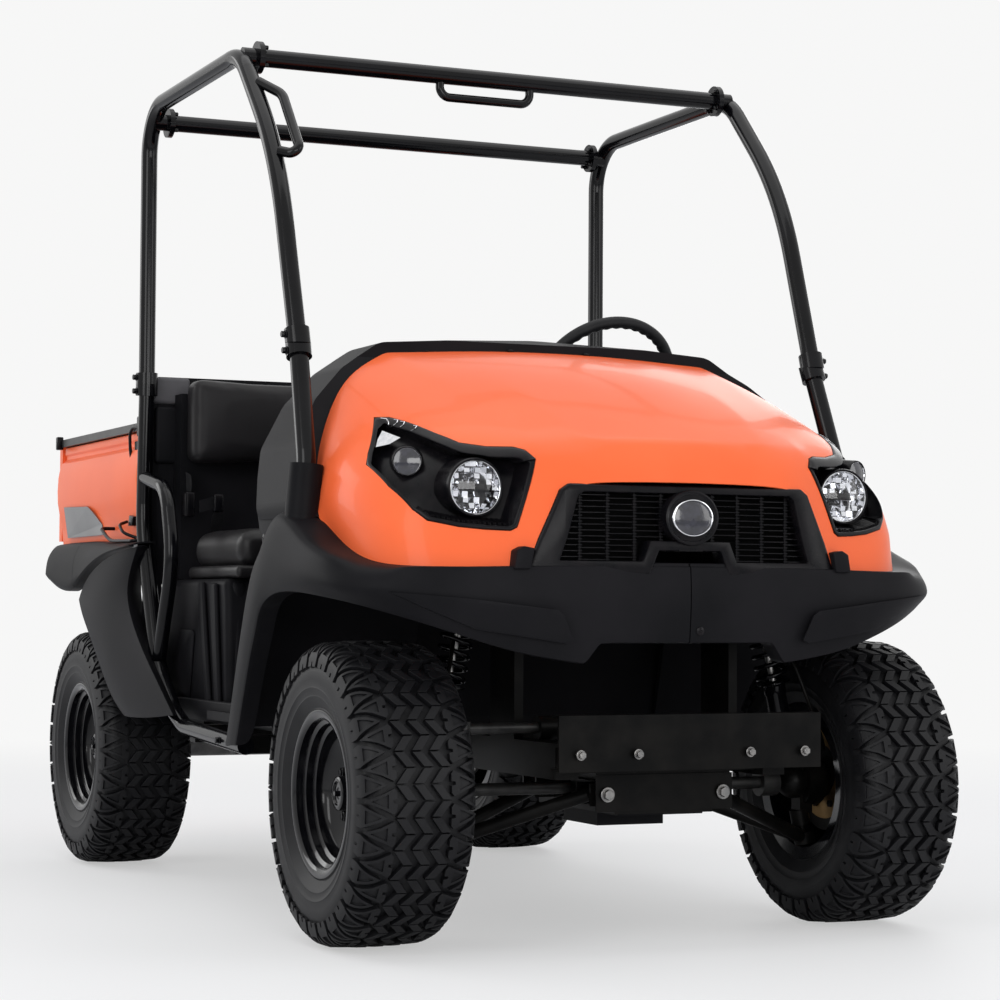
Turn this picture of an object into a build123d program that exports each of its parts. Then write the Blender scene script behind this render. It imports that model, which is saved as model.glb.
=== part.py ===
from build123d import *
from math import atan2, cos, degrees, radians, sin
import os

# A two-seat side by side utility vehicle, in millimetres. +X is the vehicle's left, -Y its front,
# +Z up, and the ground is Z = 0 under the middle of the vehicle.

# wheels and axles
TYRE_R = 301
TYRE_W = 235
TYRE_FLATS = 36
RIM_R = 150
RIM_WINDOWS = 8
FRONT_AXLE_Y = -985
REAR_AXLE_Y = 815
FRONT_WHEEL_X = 545
REAR_WHEEL_X = 553
AXLE_Z = TYRE_R
SPINDLE_R = 15
RUNNING = 0.05

# the steering axis of the left front wheel, from its ball joint up to the strut's top mount
KINGPIN_X_LOW = 450
KINGPIN_Z_LOW = 190
KINGPIN_X_TOP = 334
KINGPIN_Z_TOP = 700

# frame
RAIL_IN = 205
RAIL_OUT = 255
RAIL_TOP = 405
RAIL_BOTTOM = 335
RAIL_KICK_UP = 130
SILL_TUBE_R = 19

# cab
FLOOR_Z = 430
FLOOR_HALF = 600
SEAT_BASE_TOP = 733
SEAT_BASE_FRONT = -130
REAR_PANEL_Y = 385
HOOP_X = 615
HOOP_R = 20
HOOP_TOP = 1893
COLLAR_Z = 1213

# nose
NOSE_Y = -1318
HOOD_BOTTOM = 735
BUMPER_BOTTOM = 599
BUMPER_TOP = 751
DASH_BOTTOM = 850

HALF_LENGTH = 1326
HITCH_PIN_Y = 1286
HITCH_PIN_R = 8.1

# load bed
BED_FRONT = 440
BED_REAR = 1240
BED_HALF = 600
BED_FLOOR_Z = 840
BED_RAIL_Z = 1125
BED_WALL = 28
BED_PIVOT_Y = 1150
BED_PIVOT_Z = 770
GATE_PIVOT_Y = 1262
GATE_PIVOT_Z = 822

# steering wheel
WHEEL_X = 260
WHEEL_Y = -400
WHEEL_Z = 1190
WHEEL_R = 178
COLUMN_RISE = 35


def block(x0, x1, y0, y1, z0, z1):
    """A box given by its two corners on each axis."""
    middle = Pos((x0 + x1) / 2, (y0 + y1) / 2, (z0 + z1) / 2)
    return middle * Box(x1 - x0, y1 - y0, z1 - z0)


def outline(rows):
    """A flat face from rows of (across, up, corner radius)."""
    corners = [(across, up) for across, up, radius in rows]
    radii = [radius for across, up, radius in rows]
    return make_face(FilletPolyline(*corners, radius=radii, close=True))


def side_prism(rows, x0, x1):
    """Rows of (y, z, corner radius), pushed across from x0 to x1."""
    return extrude(Plane.YZ.offset(x0) * outline(rows), x1 - x0)


def front_prism(rows, y0, y1):
    """Rows of (x, z, corner radius), pushed back from y0 to y1."""
    return extrude(Plane.XZ.offset(-y1) * outline(rows), y1 - y0)


def plan_prism(rows, z0, z1):
    """Rows of (x, y, corner radius), pushed up from z0 to z1."""
    return extrude(Plane.XY.offset(z0) * outline(rows), z1 - z0)


def rod(start, end, radius):
    """A round bar between two points."""
    along = Vector(*end) - Vector(*start)
    bottom_up = (Align.CENTER, Align.CENTER, Align.MIN)
    return Plane(origin=start, z_dir=along) * Cylinder(radius, along.length, align=bottom_up)


def across(centre, x0, x1, radius):
    """A round bar along X, about a (y, z) centre."""
    return rod((x0, *centre), (x1, *centre), radius)


def tube(points, radii, radius):
    """A bent round tube through points, with a bend radius at each inner one."""
    path = FilletPolyline(*points, radius=radii)
    section = Plane(origin=path @ 0, z_dir=path % 0) * Circle(radius)
    return sweep(section, path=path)


def both_ways(rows):
    """Rows of (x, y, radius) on the left, followed by their mirror images on the right."""
    return rows + [(-x, y, radius) for x, y, radius in reversed(rows)]


def other_side(shape):
    return mirror(shape, about=Plane.YZ)


def largest(shape):
    """The biggest solid of a shape, without the thin leftovers of a cut."""
    return max(shape.solids(), key=lambda solid: solid.volume)


def trimmed(shape, z0, z1):
    """The part of a shape between two heights."""
    return shape & block(-1000, 1000, -2000, 2000, z0, z1)


def on_kingpin(z):
    """The point of the left steering axis at a height."""
    share = (z - KINGPIN_Z_LOW) / (KINGPIN_Z_TOP - KINGPIN_Z_LOW)
    return (KINGPIN_X_LOW + share * (KINGPIN_X_TOP - KINGPIN_X_LOW), FRONT_AXLE_Y, z)


def kingpin_rod(z0, z1, radius):
    return rod(on_kingpin(z0), on_kingpin(z1), radius)


# ---------------------------------------------------------------- frame and running gear

# frame members: front edge, rear edge, bottom, top
CROSS_MEMBERS = [
    (-1215, -1165, 345, 395),
    (-890, -840, 345, 395),
    (-560, -510, 345, 395),
    (90, 140, 345, 395),
    (600, 650, 475, 525),
    (1020, 1060, 475, 525),
    (1210, 1260, 475, 525),
]
OUTRIGGERS = [(-360, -320, 345, 385), (-60, -20, 355, 395)]
REST_TOP = 784.7


def frame_rail():
    """The left frame rail, with the post that the bed rests on and the lug that it tilts about."""
    kick_start = 150
    kick_end = 400
    rail = side_prism([
        (-1240, RAIL_BOTTOM, 0),
        (kick_start, RAIL_BOTTOM, 0),
        (kick_end, RAIL_BOTTOM + RAIL_KICK_UP, 0),
        (1270, RAIL_BOTTOM + RAIL_KICK_UP, 0),
        (1270, RAIL_TOP + RAIL_KICK_UP, 0),
        (kick_end - 20, RAIL_TOP + RAIL_KICK_UP, 0),
        (kick_start - 20, RAIL_TOP, 0),
        (-1240, RAIL_TOP, 0)], RAIL_IN, RAIL_OUT)
    rail += side_prism([
        (BED_PIVOT_Y - 40, RAIL_TOP + RAIL_KICK_UP, 0),
        (BED_PIVOT_Y + 40, RAIL_TOP + RAIL_KICK_UP, 0),
        (BED_PIVOT_Y + 20, BED_PIVOT_Z + 20, 18),
        (BED_PIVOT_Y - 20, BED_PIVOT_Z + 20, 18)], RAIL_OUT - 20, RAIL_OUT)
    rail += rod((RAIL_OUT, BED_PIVOT_Y, BED_PIVOT_Z), (RAIL_OUT + 34, BED_PIVOT_Y, BED_PIVOT_Z), 10)
    return rail + block(RAIL_IN, RAIL_OUT, 520, 560, RAIL_TOP + RAIL_KICK_UP, REST_TOP)


def frame_cross_members():
    """The boxes between the two rails, and the outriggers out to the sill tubes."""
    members = [block(-RAIL_IN, RAIL_IN, y0, y1, z0, z1) for y0, y1, z0, z1 in CROSS_MEMBERS]
    for y0, y1, z0, z1 in OUTRIGGERS:
        outrigger = block(RAIL_OUT, HOOP_X, y0, y1, z0, z1) - sill_tube()
        members += [outrigger, other_side(outrigger)]
    return Compound(children=members)


BEAM_PLATE = 6


def front_beam():
    """A steel channel across the nose, with its four bolt holes, on two brackets."""
    beam = block(-288, 288, -HALF_LENGTH, -1290, 355, 463)
    beam -= block(-288, 288, BEAM_PLATE - HALF_LENGTH, -1290, 361, 457)
    for x in (-246, -123, 123, 246):
        beam -= rod((x, -HALF_LENGTH - 5, 388), (x, 10 - HALF_LENGTH, 388), 5.5)
    for side in (-1, 1):
        middle = side * (RAIL_IN + RAIL_OUT) / 2
        beam += block(middle - 25, middle + 25, -1320, -1240, 398, 405)
    return beam


def skid_plate():
    """A plate under the small front frame, with a shallow guard box below the differential."""
    box = block(-75, 75, -1058, -900, 228, 258) - block(-71, 71, -1054, -904, 232, 258)
    return box + block(-95, 95, -1190, -850, 258, 262)


def front_subframe():
    """The small frame under the nose that carries the lower arms and the differential."""
    frame = block(-109, 109, -1205, -850, 262, 322) - block(-89, 89, -1185, -870, 262, 322)
    frame += block(-60, 60, -1205, -1175, 322, 345)
    frame += block(-60, 60, -880, -850, 322, 345)
    frame += block(-152, 152, -1209, -1205, 268, 340)
    for y in ARM_PIVOT_Y:
        for side in (-1, 1):
            for gap in (-1, 1):
                edge = y + gap * 31
                ear = block(95, 152, edge - 3, edge + 3, 278, 322)
                frame += ear if side > 0 else other_side(ear)
    frame -= rod((0, -1000, PROP_Z), (0, -700, PROP_Z), 24)
    return frame - rod((-200, FRONT_AXLE_Y, AXLE_Z), (200, FRONT_AXLE_Y, AXLE_Z), 24)


ARM_PIVOT_X = 129
ARM_PIVOT_Z = 302
ARM_PIVOT_Y = (-1150, -895)


def lower_arm():
    """The left lower arm: two tubes from their pivots to a ball joint under the knuckle."""
    arm = kingpin_rod(170, 194, 22) + kingpin_rod(192, 230, 8)
    for y in ARM_PIVOT_Y:
        arm += rod((ARM_PIVOT_X, y, ARM_PIVOT_Z), on_kingpin(180), 14)
        arm += rod((ARM_PIVOT_X, y - 25, ARM_PIVOT_Z), (ARM_PIVOT_X, y + 25, ARM_PIVOT_Z), 18)
        arm -= block(60, 112, y - 40, y + 40, 260, 340)
    return arm


CV_R = 36
PROP_Z = 313


def front_driveline():
    """Differential, half shafts ending in their boots by the knuckles, and the propeller shaft."""
    boot_end = on_kingpin(AXLE_Z)[0] - CV_R - 9
    line = block(-80, 80, -1060, -910, 266, 340)
    line += rod((0, -920, PROP_Z), (0, 150, PROP_Z), 18)
    for side in (-1, 1):
        # from, to, radius
        for x0, x1, radius in [(75, boot_end, 13), (boot_end - 40, boot_end, 29)]:
            line += rod((side * x0, FRONT_AXLE_Y, AXLE_Z), (side * x1, FRONT_AXLE_Y, AXLE_Z), radius)
    return line


def strut_tower():
    """The left wheel's strut mount, standing on the frame rail."""
    tower = block(235, 255, -1045, -925, RAIL_TOP, 712) + block(235, 400, -1045, -925, 690, 712)
    return tower - kingpin_rod(670, 730, 8 + RUNNING)


STEERING_ARM_Y = FRONT_AXLE_Y - 93
STEERING_ARM_X = 391
RACK_Y = -1109
RACK_Z = 430


def knuckle():
    """The left steering knuckle, with its hub spindle, brake plate and steering arm."""
    piece = rod((440, FRONT_AXLE_Y, AXLE_Z), (480, FRONT_AXLE_Y, AXLE_Z), 50)
    piece += Pos(*on_kingpin(AXLE_Z)) * Sphere(CV_R)
    # spindle steps: start, end, radius
    for x0, x1, radius in [(480, 525, 35), (500, 508, 105), (525, 597, SPINDLE_R)]:
        piece += rod((x0, FRONT_AXLE_Y, AXLE_Z), (x1, FRONT_AXLE_Y, AXLE_Z), radius)
    piece += kingpin_rod(210, 242, 20) + block(432, 462, -1003, -967, 236, 275)
    piece += kingpin_rod(345, 395, 29) + block(420, 470, -1005, -965, 325, 385)
    piece += rod((405, FRONT_AXLE_Y - 15, 385), (STEERING_ARM_X, STEERING_ARM_Y, 428), 10)
    piece += rod((STEERING_ARM_X, STEERING_ARM_Y, 414), (STEERING_ARM_X, STEERING_ARM_Y, 446), 12)
    return piece - kingpin_rod(200, 236, 8 + RUNNING) - kingpin_rod(345, 520, 22)


def strut():
    """The left strut: damper tube, spring seats and piston rod, on the steering axis."""
    piece = kingpin_rod(345, 520, 22) + kingpin_rod(500, 508, 37)
    return piece + kingpin_rod(515, 718, 8) + kingpin_rod(664, 672, 37)


def coil_spring():
    """The left strut's coil spring, as its turns."""
    turns = [Plane(origin=on_kingpin(z), z_dir=Vector(*on_kingpin(700)) - Vector(*on_kingpin(200)))
             * Torus(31, 5.5) for z in range(518, 660, 20)]
    return Compound(children=turns)


def rack_housing():
    housing = rod((-235, RACK_Y, RACK_Z), (235, RACK_Y, RACK_Z), 24)
    return housing - rod((-240, RACK_Y, RACK_Z), (240, RACK_Y, RACK_Z), 11 + RUNNING)


def tie_rods():
    """The sliding rack with a tie rod at each end."""
    bar = rod((-STEERING_ARM_X, RACK_Y, RACK_Z), (STEERING_ARM_X, RACK_Y, RACK_Z), 11)
    for side in (-1, 1):
        end = (side * STEERING_ARM_X, RACK_Y, RACK_Z - 14)
        bar += rod(end, (end[0], RACK_Y, RACK_Z + 14), 13)
    return bar


def rear_axle():
    """The rigid rear axle: tube, gear housing, brake plates and spindles."""
    axle = rod((-REAR_WHEEL_X + 90, REAR_AXLE_Y, AXLE_Z), (REAR_WHEEL_X - 90, REAR_AXLE_Y, AXLE_Z), 30)
    axle += Pos(0, REAR_AXLE_Y, AXLE_Z) * Sphere(85)
    axle += rod((0, 700, AXLE_Z + 10), (0, REAR_AXLE_Y, AXLE_Z + 10), 35)
    for side in (-1, 1):
        # start, end, radius
        for x0, x1, radius in [(440, 450, 100), (450, 530, 32), (530, 605, SPINDLE_R)]:
            axle += rod((side * x0, REAR_AXLE_Y, AXLE_Z), (side * x1, REAR_AXLE_Y, AXLE_Z), radius)
        pad = block(325, 375, REAR_AXLE_Y - 40, REAR_AXLE_Y + 40, AXLE_Z, 348)
        ear = block(285, 315, REAR_AXLE_Y, REAR_AXLE_Y + 55, AXLE_Z + 10, 340)
        axle += pad + ear if side > 0 else other_side(pad) + other_side(ear)
    return axle


def leaf_spring():
    """The left rear leaf spring, with its eyes and frame hangers."""
    sag_r = 919
    centre_z = 372 + sag_r
    spring = None
    # leaf number, half length
    for number, half in [(0, 375), (1, 260), (2, 160)]:
        inner = sag_r + 8 * number
        leaf = Pos(345, REAR_AXLE_Y, centre_z) * Rot(0, 90, 0) * (
            Cylinder(inner + 8, 50) - Cylinder(inner, 50))
        leaf &= block(300, 400, REAR_AXLE_Y - half, REAR_AXLE_Y + half, 300, 600)
        spring = leaf if spring is None else spring + leaf
    for y in (REAR_AXLE_Y - 375, REAR_AXLE_Y + 375):
        spring += rod((320, y, 452), (370, y, 452), 14)
        spring += block(RAIL_OUT, 370, y - 15, y + 15, 458, 500)
    return spring


def rear_shock():
    """The left rear damper, from the axle up to the frame rail."""
    shock = rod((300, 852, 340), (300, 905, 530), 22) - block(270, 330, 800, 900, 300, 340)
    return shock + block(RAIL_OUT, 325, 885, 925, 522, 535)


# ---------------------------------------------------------------- wheels, each about the X axis

def rim():
    """A pressed steel rim with a stepped dish, hub and cap, its outer face towards +X."""
    # radius, x: the wall's outside from the inner lip to the outer lip, then back along its inside
    rows = [
        (140, -100, 0), (165, -103, 0), (165, -96, 0), (RIM_R, -94, 0), (RIM_R, 94, 0), (165, 96, 0),
        (165, 103, 0), (140, 100, 0), (140, 40, 0), (105, 40, 0), (90, 22, 0), (60, 22, 0),
        (52, 60, 0), (32, 60, 0), (30, 71, 0), (0, 71, 0), (0, 58, 0), (SPINDLE_R + RUNNING, 58, 0),
        (SPINDLE_R + RUNNING, -12, 0), (38, -12, 0), (42, 12, 0), (96, 12, 0), (110, 30, 0), (140, 30, 0),
    ]
    piece = Rot(0, 90, 0) * revolve(Plane.XZ * outline(rows), Axis.Z)
    for number in range(RIM_WINDOWS):
        window = Pos(0, 0, 88) * Rot(0, 90, 0) * Cylinder(14, 120)
        piece -= Rot((number + 0.5) * 360 / RIM_WINDOWS, 0, 0) * window
    return piece


def faceted(rows):
    """Rings of flats stacked along X, from rows of (x, radius at the flats)."""
    stack = None
    for (x0, radius0), (x1, radius1) in zip(rows, rows[1:]):
        flats = RegularPolygon(radius0, TYRE_FLATS, major_radius=False, rotation=180 / TYRE_FLATS)
        closing = degrees(atan2(radius0 - radius1, x1 - x0))
        ring = extrude(Plane.YZ.offset(x0) * flats, x1 - x0, taper=closing)
        stack = ring if stack is None else stack + ring
    return stack


def tyre():
    """A tubeless tyre down to the rim's bead seats; its round is of flats, which keeps its mesh light."""
    half = TYRE_W / 2
    solid = faceted([(-half, 225), (6 - half, 275), (-88, TYRE_R), (88, TYRE_R), (half - 6, 275), (half, 225)])
    beyond_bead = faceted([(92, 160), (106, 178), (half, 225)])
    solid = solid - beyond_bead - other_side(beyond_bead)
    return solid - rod((-200, 0, 0), (200, 0, 0), RIM_R)


# ---------------------------------------------------------------- nose and cab

COWL_FRONT_ROWS = [
    (600, 700, 0), (628, 850, 60), (604, 980, 60), (545, 1078, 80), (470, 1150, 80), (375, 1212, 60),
    (0, 1240, 0),
]
HOOD_REAR_TOP = 1240
HOOD_AXIS_Z = 760
HOOD_ANGLES = (0, 10, 20, 30, 40, 50, 60, 75, 90)
# y, then the hood's radii about its axis at those angles, from its left foot up to its middle
HOOD_SECTIONS = [
    (-600, (650, 660, 668, 656, 641, 604, 542, 485, 472)),
    (-760, (640, 642, 645, 625, 600, 551, 500, 458, 444)),
    (-924, (612, 616, 618, 589, 535, 482, 444, 409, 396)),
    (-1090, (555, 582, 565, 514, 450, 402, 370, 339, 328)),
    (-1200, (500, 502, 470, 428, 383, 344, 312, 285, 275)),
    (-1268, (382, 364, 352, 340, 316, 290, 268, 246, 238)),
    (-1300, (340, 305, 301, 283, 255, 227, 206, 188, 183)),
    (NOSE_Y, (330, 300, 275, 250, 220, 196, 179, 163, 155)),
]


def front_outline(rows, grow):
    """The left rows of a front view, widened by grow, with their mirror images."""
    left = [(x + grow if x else 0, z + grow, radius) for x, z, radius in rows]
    return left + [(-x, z, radius) for x, z, radius in reversed(left) if x]


def hood_section(y, radii):
    """One upright slice of the hood, down to below its lower edge."""
    left = [(radii[0], HOOD_BOTTOM - 40)]
    for angle, radius in zip(HOOD_ANGLES[:-1], radii):
        left.append((radius * cos(radians(angle)), HOOD_AXIS_Z + radius * sin(radians(angle))))
    top = [(0, HOOD_AXIS_Z + radii[-1])]
    right = [(-x, z) for x, z in reversed(left)]
    return Plane.XZ.offset(-y) * make_face(Polyline(*left, *top, *right, close=True))


def hood_body():
    """The one-piece hood, before its grille and lamp openings are cut."""
    shape = loft([hood_section(y, radii) for y, radii in HOOD_SECTIONS], ruled=True)
    return shape & side_prism([
        (NOSE_Y, HOOD_BOTTOM, 0), (-1045, 750, 0), (-880, DASH_BOTTOM, 0), (-629, HOOD_REAR_TOP, 0),
        (NOSE_Y, HOOD_REAR_TOP, 0)], -700, 700)


LAMP_ROWS = [
    (302, 957, 6), (330, 981, 8), (424, 989, 10), (484, 1052, 8), (503, 1052, 6), (569, 949, 8),
    (530, 855, 10), (508, 834, 8), (420, 816, 10), (352, 818, 6),
]
# each lamp's lenses: x, z, radius, front face
LENSES = [(413, 900, 49, -1205), (505, 955, 24, -1088)]
GRILLE_ROWS = [(257, 907, 20), (330, 733, 10), (-330, 733, 10), (-257, 907, 20)]


def lamp_space():
    return front_prism(LAMP_ROWS, -1400, -1000)


def hood(body):
    recess = front_prism(GRILLE_ROWS, -1400, NOSE_Y + 60)
    shape = body - recess
    for space in (lamp_space(), pillar_boot_solid()):
        shape -= space
        shape -= other_side(space)
    return shape


def headlamp(body):
    """The left lamp's housing, a little behind the hood's skin, with a pocket for each lens."""
    housing = body & lamp_space() & (Pos(0, 8, 0) * body)
    for x, z, radius, front in LENSES:
        housing -= rod((x, -1400, z), (x, front + 45, z), radius + 4)
    return largest(housing)


def headlamp_lenses():
    """The left lamp's two round lenses."""
    large, small = [rod((x, front, z), (x, front + 45, z), radius) for x, z, radius, front in LENSES]
    return large + small


def grille():
    """The grille: a trapezoid frame, thin slats and posts, and a blank round boss."""
    frame_depth = 24
    inner = [(238, 892, 15), (300, 758, 10), (80, 758, 5), (60, 790, 5), (-60, 790, 5), (-80, 758, 5),
             (-300, 758, 10), (-238, 892, 15)]
    y0 = NOSE_Y
    piece = front_prism(GRILLE_ROWS, y0, y0 + frame_depth) - front_prism(inner, y0, y0 + frame_depth)
    piece -= front_prism([(75, 725, 0), (50, 778, 5), (-50, 778, 5), (-75, 725, 0)], y0, y0 + frame_depth)
    mesh = None
    for row in range(13):
        z = 762 + row * 10.3
        slat = block(-310, 310, y0 + 10, y0 + 18, z, z + 4)
        mesh = slat if mesh is None else mesh + slat
    for column in range(-6, 7):
        mesh += block(column * 45 - 4, column * 45 + 4, y0 + 12, y0 + 20, 740, 900)
    piece += mesh & front_prism(inner, y0, y0 + frame_depth)
    piece += rod((0, y0 - 2, 845), (0, y0 + 22, 845), 56)
    return piece & hood_shadow()


def hood_shadow():
    """The space in front of the radiator that the grille fills."""
    return plan_prism(both_ways([
        (0.001, NOSE_Y - 6, 0), (344, NOSE_Y + 18, 60), (520, -1200, 0), (520, -1100, 0)]), 700, 1000)


FENDER_ROWS = [
    (0, NOSE_Y - 2, 0), (344, NOSE_Y + 16, 80), (500, -1258, 90), (640, -1140, 90), (692, -980, 120),
    (695, -840, 60), (688, -400, 0), (0, -400, 0),
]


def front_fender(body):
    """The left half of the bumper, with the wheel arch and the leg down to the floor."""
    plan = plan_prism(FENDER_ROWS, 300, 900)
    band = plan & side_prism([
        (-1400, BUMPER_BOTTOM, 0), (-1270, BUMPER_BOTTOM + 10, 0), (-1180, 650, 0), (-1140, BUMPER_TOP, 0),
        (-1400, BUMPER_TOP, 0)], 0, 700)
    hollow = [
        (0, NOSE_Y + 58, 0), (330, NOSE_Y + 76, 60), (470, -1205, 60), (600, -1100, 0), (600, -1000, 0),
        (0, -1000, 0),
    ]
    band -= plan_prism(hollow, 560, 700)
    roof = plan & side_prism([
        (-1190, 690, 0), (-640, 700, 0), (-640, 735, 0), (-1190, 735, 0)], 300, 700)
    flank = plan & side_prism([
        (-1200, 751, 0), (-1045, 768, 30), (-960, 805, 30), (-880, 866, 20), (-645, 870, 20),
        (-631, 682, 60), (-507, 575, 60), (-423, 368, 0), (-580, 368, 0), (-600, 450, 0), (-664, 661, 40),
        (-740, 703, 60), (-1000, 703, 60), (-1140, 650, 60), (-1200, 615, 0)], 606, 700)
    flank -= side_prism([
        (-728, 725, 0), (-640, 725, 0), (-522, 575, 60), (-440, 382, 0), (-566, 382, 0), (-588, 450, 0),
        (-650, 655, 40)], 606, 688)
    liner = side_prism([
        (-740, 735, 0), (-640, 735, 0), (-565, 415, 0), (-580, 415, 0), (-655, 690, 20)], 300, 606)
    piece = band + roof + flank + liner
    piece -= front_prism(GRILLE_ROWS, NOSE_Y - 20, NOSE_Y + 24)
    piece -= block(230, 405, -1050, -920, 600, 740)
    piece = piece - body - dash_solid() - pillar_boot_solid() - sill_tube()
    return largest(piece)


def pillar_boot_solid():
    return rod((642, -850, 826), (630, -846, 956), 35)


def pillar_boot():
    return pillar_boot_solid() - front_pillar()


def front_pillar():
    """The left front post below its collar, down into the fender's boot."""
    post = tube([(611, -729, COLLAR_Z + 40), (628, -842, 960), (636, -850, 830)], [150], HOOP_R)
    post += rod((611, -729, COLLAR_Z + 40), (615, -756, COLLAR_Z - 30), 27)
    return trimmed(post, 700, COLLAR_Z)


def roll_hoop():
    """The left hoop: front post, roof rail and rear post, with the stubs of the cross bars."""
    hoop = tube([
        (HOOP_X, -758, COLLAR_Z - 31), (HOOP_X, -606, 1630), (HOOP_X, -355, HOOP_TOP),
        (HOOP_X, 366, HOOP_TOP), (HOOP_X, 368, COLLAR_Z - 31)], [740, 150, 120], HOOP_R)
    hoop += rod((HOOP_X, -758, COLLAR_Z - 31), (HOOP_X, -739, COLLAR_Z + 29), 27)
    hoop += rod((HOOP_X, 368, COLLAR_Z - 31), (HOOP_X, 368, COLLAR_Z + 28), 27)
    hoop = trimmed(hoop, COLLAR_Z, 2000)
    for y, z in CROSS_BARS:
        hoop += rod((HOOP_X, y, z), (577, y, z), HOOP_R)
        hoop += rod((583, y, z), (577, y, z), 36)
    return hoop


CROSS_BARS = ((-360, 1887), (326, 1858))


def cross_bar(y, z):
    bar = rod((-577, y, z), (577, y, z), HOOP_R)
    for side in (-1, 1):
        bar += rod((side * 577, y, z), (side * 571, y, z), 36)
    return bar


def grab_loop():
    """The looped strap on the right front post."""
    path = [(-608, -457, 1812), (-575, -520, 1776), (-575, -650, 1622), (-610, -606, 1636)]
    return tube(path, [60, 16], 11)


def overhead_handle():
    """The bent handle under the front cross bar."""
    y, z = CROSS_BARS[0]
    path = [(-138, y, z), (-142, y, z - 50), (88, y, z - 50), (84, y, z)]
    return tube(path, [24, 24], 10)


def rear_leg():
    """The left rear post below its collar, and the hip tube that bows forward past the seat."""
    x = HOOP_X
    leg = tube([(x, 366, COLLAR_Z + 30), (x, 385, 850), (x, 246, 523), (x, 110, 420), (x, 20, 387),
                (x, -430, 365)], [300, 200, 120, 120], HOOP_R - 1)
    hip = tube([(x, 385, 985), (x, 190, 950), (x, 130, 780), (x, 246, 523)], [90, 200], 17)
    collar = rod((x, 366, COLLAR_Z + 30), (x, 369, COLLAR_Z - 28), 27)
    return trimmed(leg + hip + collar, 300, COLLAR_Z)


def sill_tube():
    """The straight lower stretch of the left rear leg, for trimming what meets it."""
    return rod((HOOP_X, 20, 387), (HOOP_X, -430, 365), SILL_TUBE_R)


def floor_and_firewall():
    wall = side_prism([
        (-560, FLOOR_Z - 20, 0), (-545, FLOOR_Z - 20, 0), (-545, FLOOR_Z, 0), (-605, 740, 0),
        (-605, DASH_BOTTOM, 0), (-620, DASH_BOTTOM, 0), (-620, 740, 0), (-560, FLOOR_Z, 0),
    ], -FLOOR_HALF, FLOOR_HALF)
    return wall + block(-FLOOR_HALF, FLOOR_HALF, -560, SEAT_BASE_FRONT + 30, FLOOR_Z - 20, FLOOR_Z)


def dash_solid():
    """The cowl and dashboard behind the hood, over the full width."""
    from_front = front_prism(front_outline(COWL_FRONT_ROWS, 22), -1400, -300)
    from_side = side_prism([
        (-880, DASH_BOTTOM, 0), (-600, DASH_BOTTOM, 0), (-560, 940, 40), (-520, 1100, 40),
        (-480, 1235, 30), (-565, 1264, 60), (-650, 1245, 0), (-655, 1200, 0)], -700, 700)
    return from_front & from_side


def dashboard(body):
    middle = dash_solid() & block(-430, 430, -1400, 0, 800, 1300)
    return middle - body - steering_column_axis(28)


def dash_side(body):
    outer = dash_solid() & block(430, 700, -1400, 0, 800, 1300)
    return outer - body - front_pillar() - pillar_boot_solid() - steering_column_axis(28)


def column_plane():
    """The steering wheel's plane, its normal towards the driver."""
    return Plane(origin=(WHEEL_X, WHEEL_Y, WHEEL_Z), x_dir=(1, 0, 0)).rotated((-(90 - COLUMN_RISE), 0, 0))


def steering_column_axis(radius):
    above = (Align.CENTER, Align.CENTER, Align.MAX)
    return column_plane() * Pos(0, 0, -45) * Cylinder(radius, 330, align=above)


def steering_column():
    bore = column_plane() * Pos(0, 0, -100) * Cylinder(9 + RUNNING, 120)
    return steering_column_axis(28) - bore


def steering_wheel():
    """Rim, three spokes, hub and the shaft into the column."""
    ring = Torus(WHEEL_R - 15, 15)
    hub = Pos(0, 0, -18) * Cylinder(42, 34)
    shaft = Pos(0, 0, -30) * Cylinder(9, 100, align=(Align.CENTER, Align.CENTER, Align.MAX))
    spokes = None
    for angle in (0, 90, 180):
        spoke = Rot(0, 0, angle) * Pos(95, 0, -10) * Box(120, 30, 10)
        spokes = spoke if spokes is None else spokes + spoke
    return column_plane() * (ring + hub + spokes + shaft)


def seat_base():
    outer = block(-560, 560, SEAT_BASE_FRONT, REAR_PANEL_Y, FLOOR_Z, SEAT_BASE_TOP)
    return outer - block(-548, 548, SEAT_BASE_FRONT + 12, REAR_PANEL_Y, FLOOR_Z, SEAT_BASE_TOP - 12)


def seat_cushion():
    pad = block(25, 545, -150, 240, SEAT_BASE_TOP, 845)
    return fillet(pad.edges().group_by(Axis.Z)[-1], 40)


def seat_back():
    pad = block(25, 540, 225, 320, 1010, 1215)
    return fillet(pad.edges().group_by(Axis.Y)[0], 35)


def rear_panel():
    """The panel behind the seats, with the frame that the seat backs are fixed to."""
    panel = block(-580, 580, REAR_PANEL_Y, REAR_PANEL_Y + 15, 721, 1235)
    return panel + block(-540, 540, 320, REAR_PANEL_Y, SEAT_BASE_TOP, 1190)


def engine_block():
    return block(-190, 190, 150, 590, 290, 700)


def rear_fender():
    """The left side panel ahead of the rear wheel."""
    rows = [(322, 800, 0), (390, 700, 30), (275, 581, 30), (12, 404, 0), (399, 398, 0), (513, 462, 40),
            (691, 595, 60), (815, 680, 0), (735, 742, 40), (560, 788, 40)]
    return side_prism(rows, 640, 664)


def rear_fender_stay():
    """The bar that carries the left rear side panel from the frame rail."""
    return block(RAIL_OUT, 640, 460, 500, 500, 530)


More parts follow.
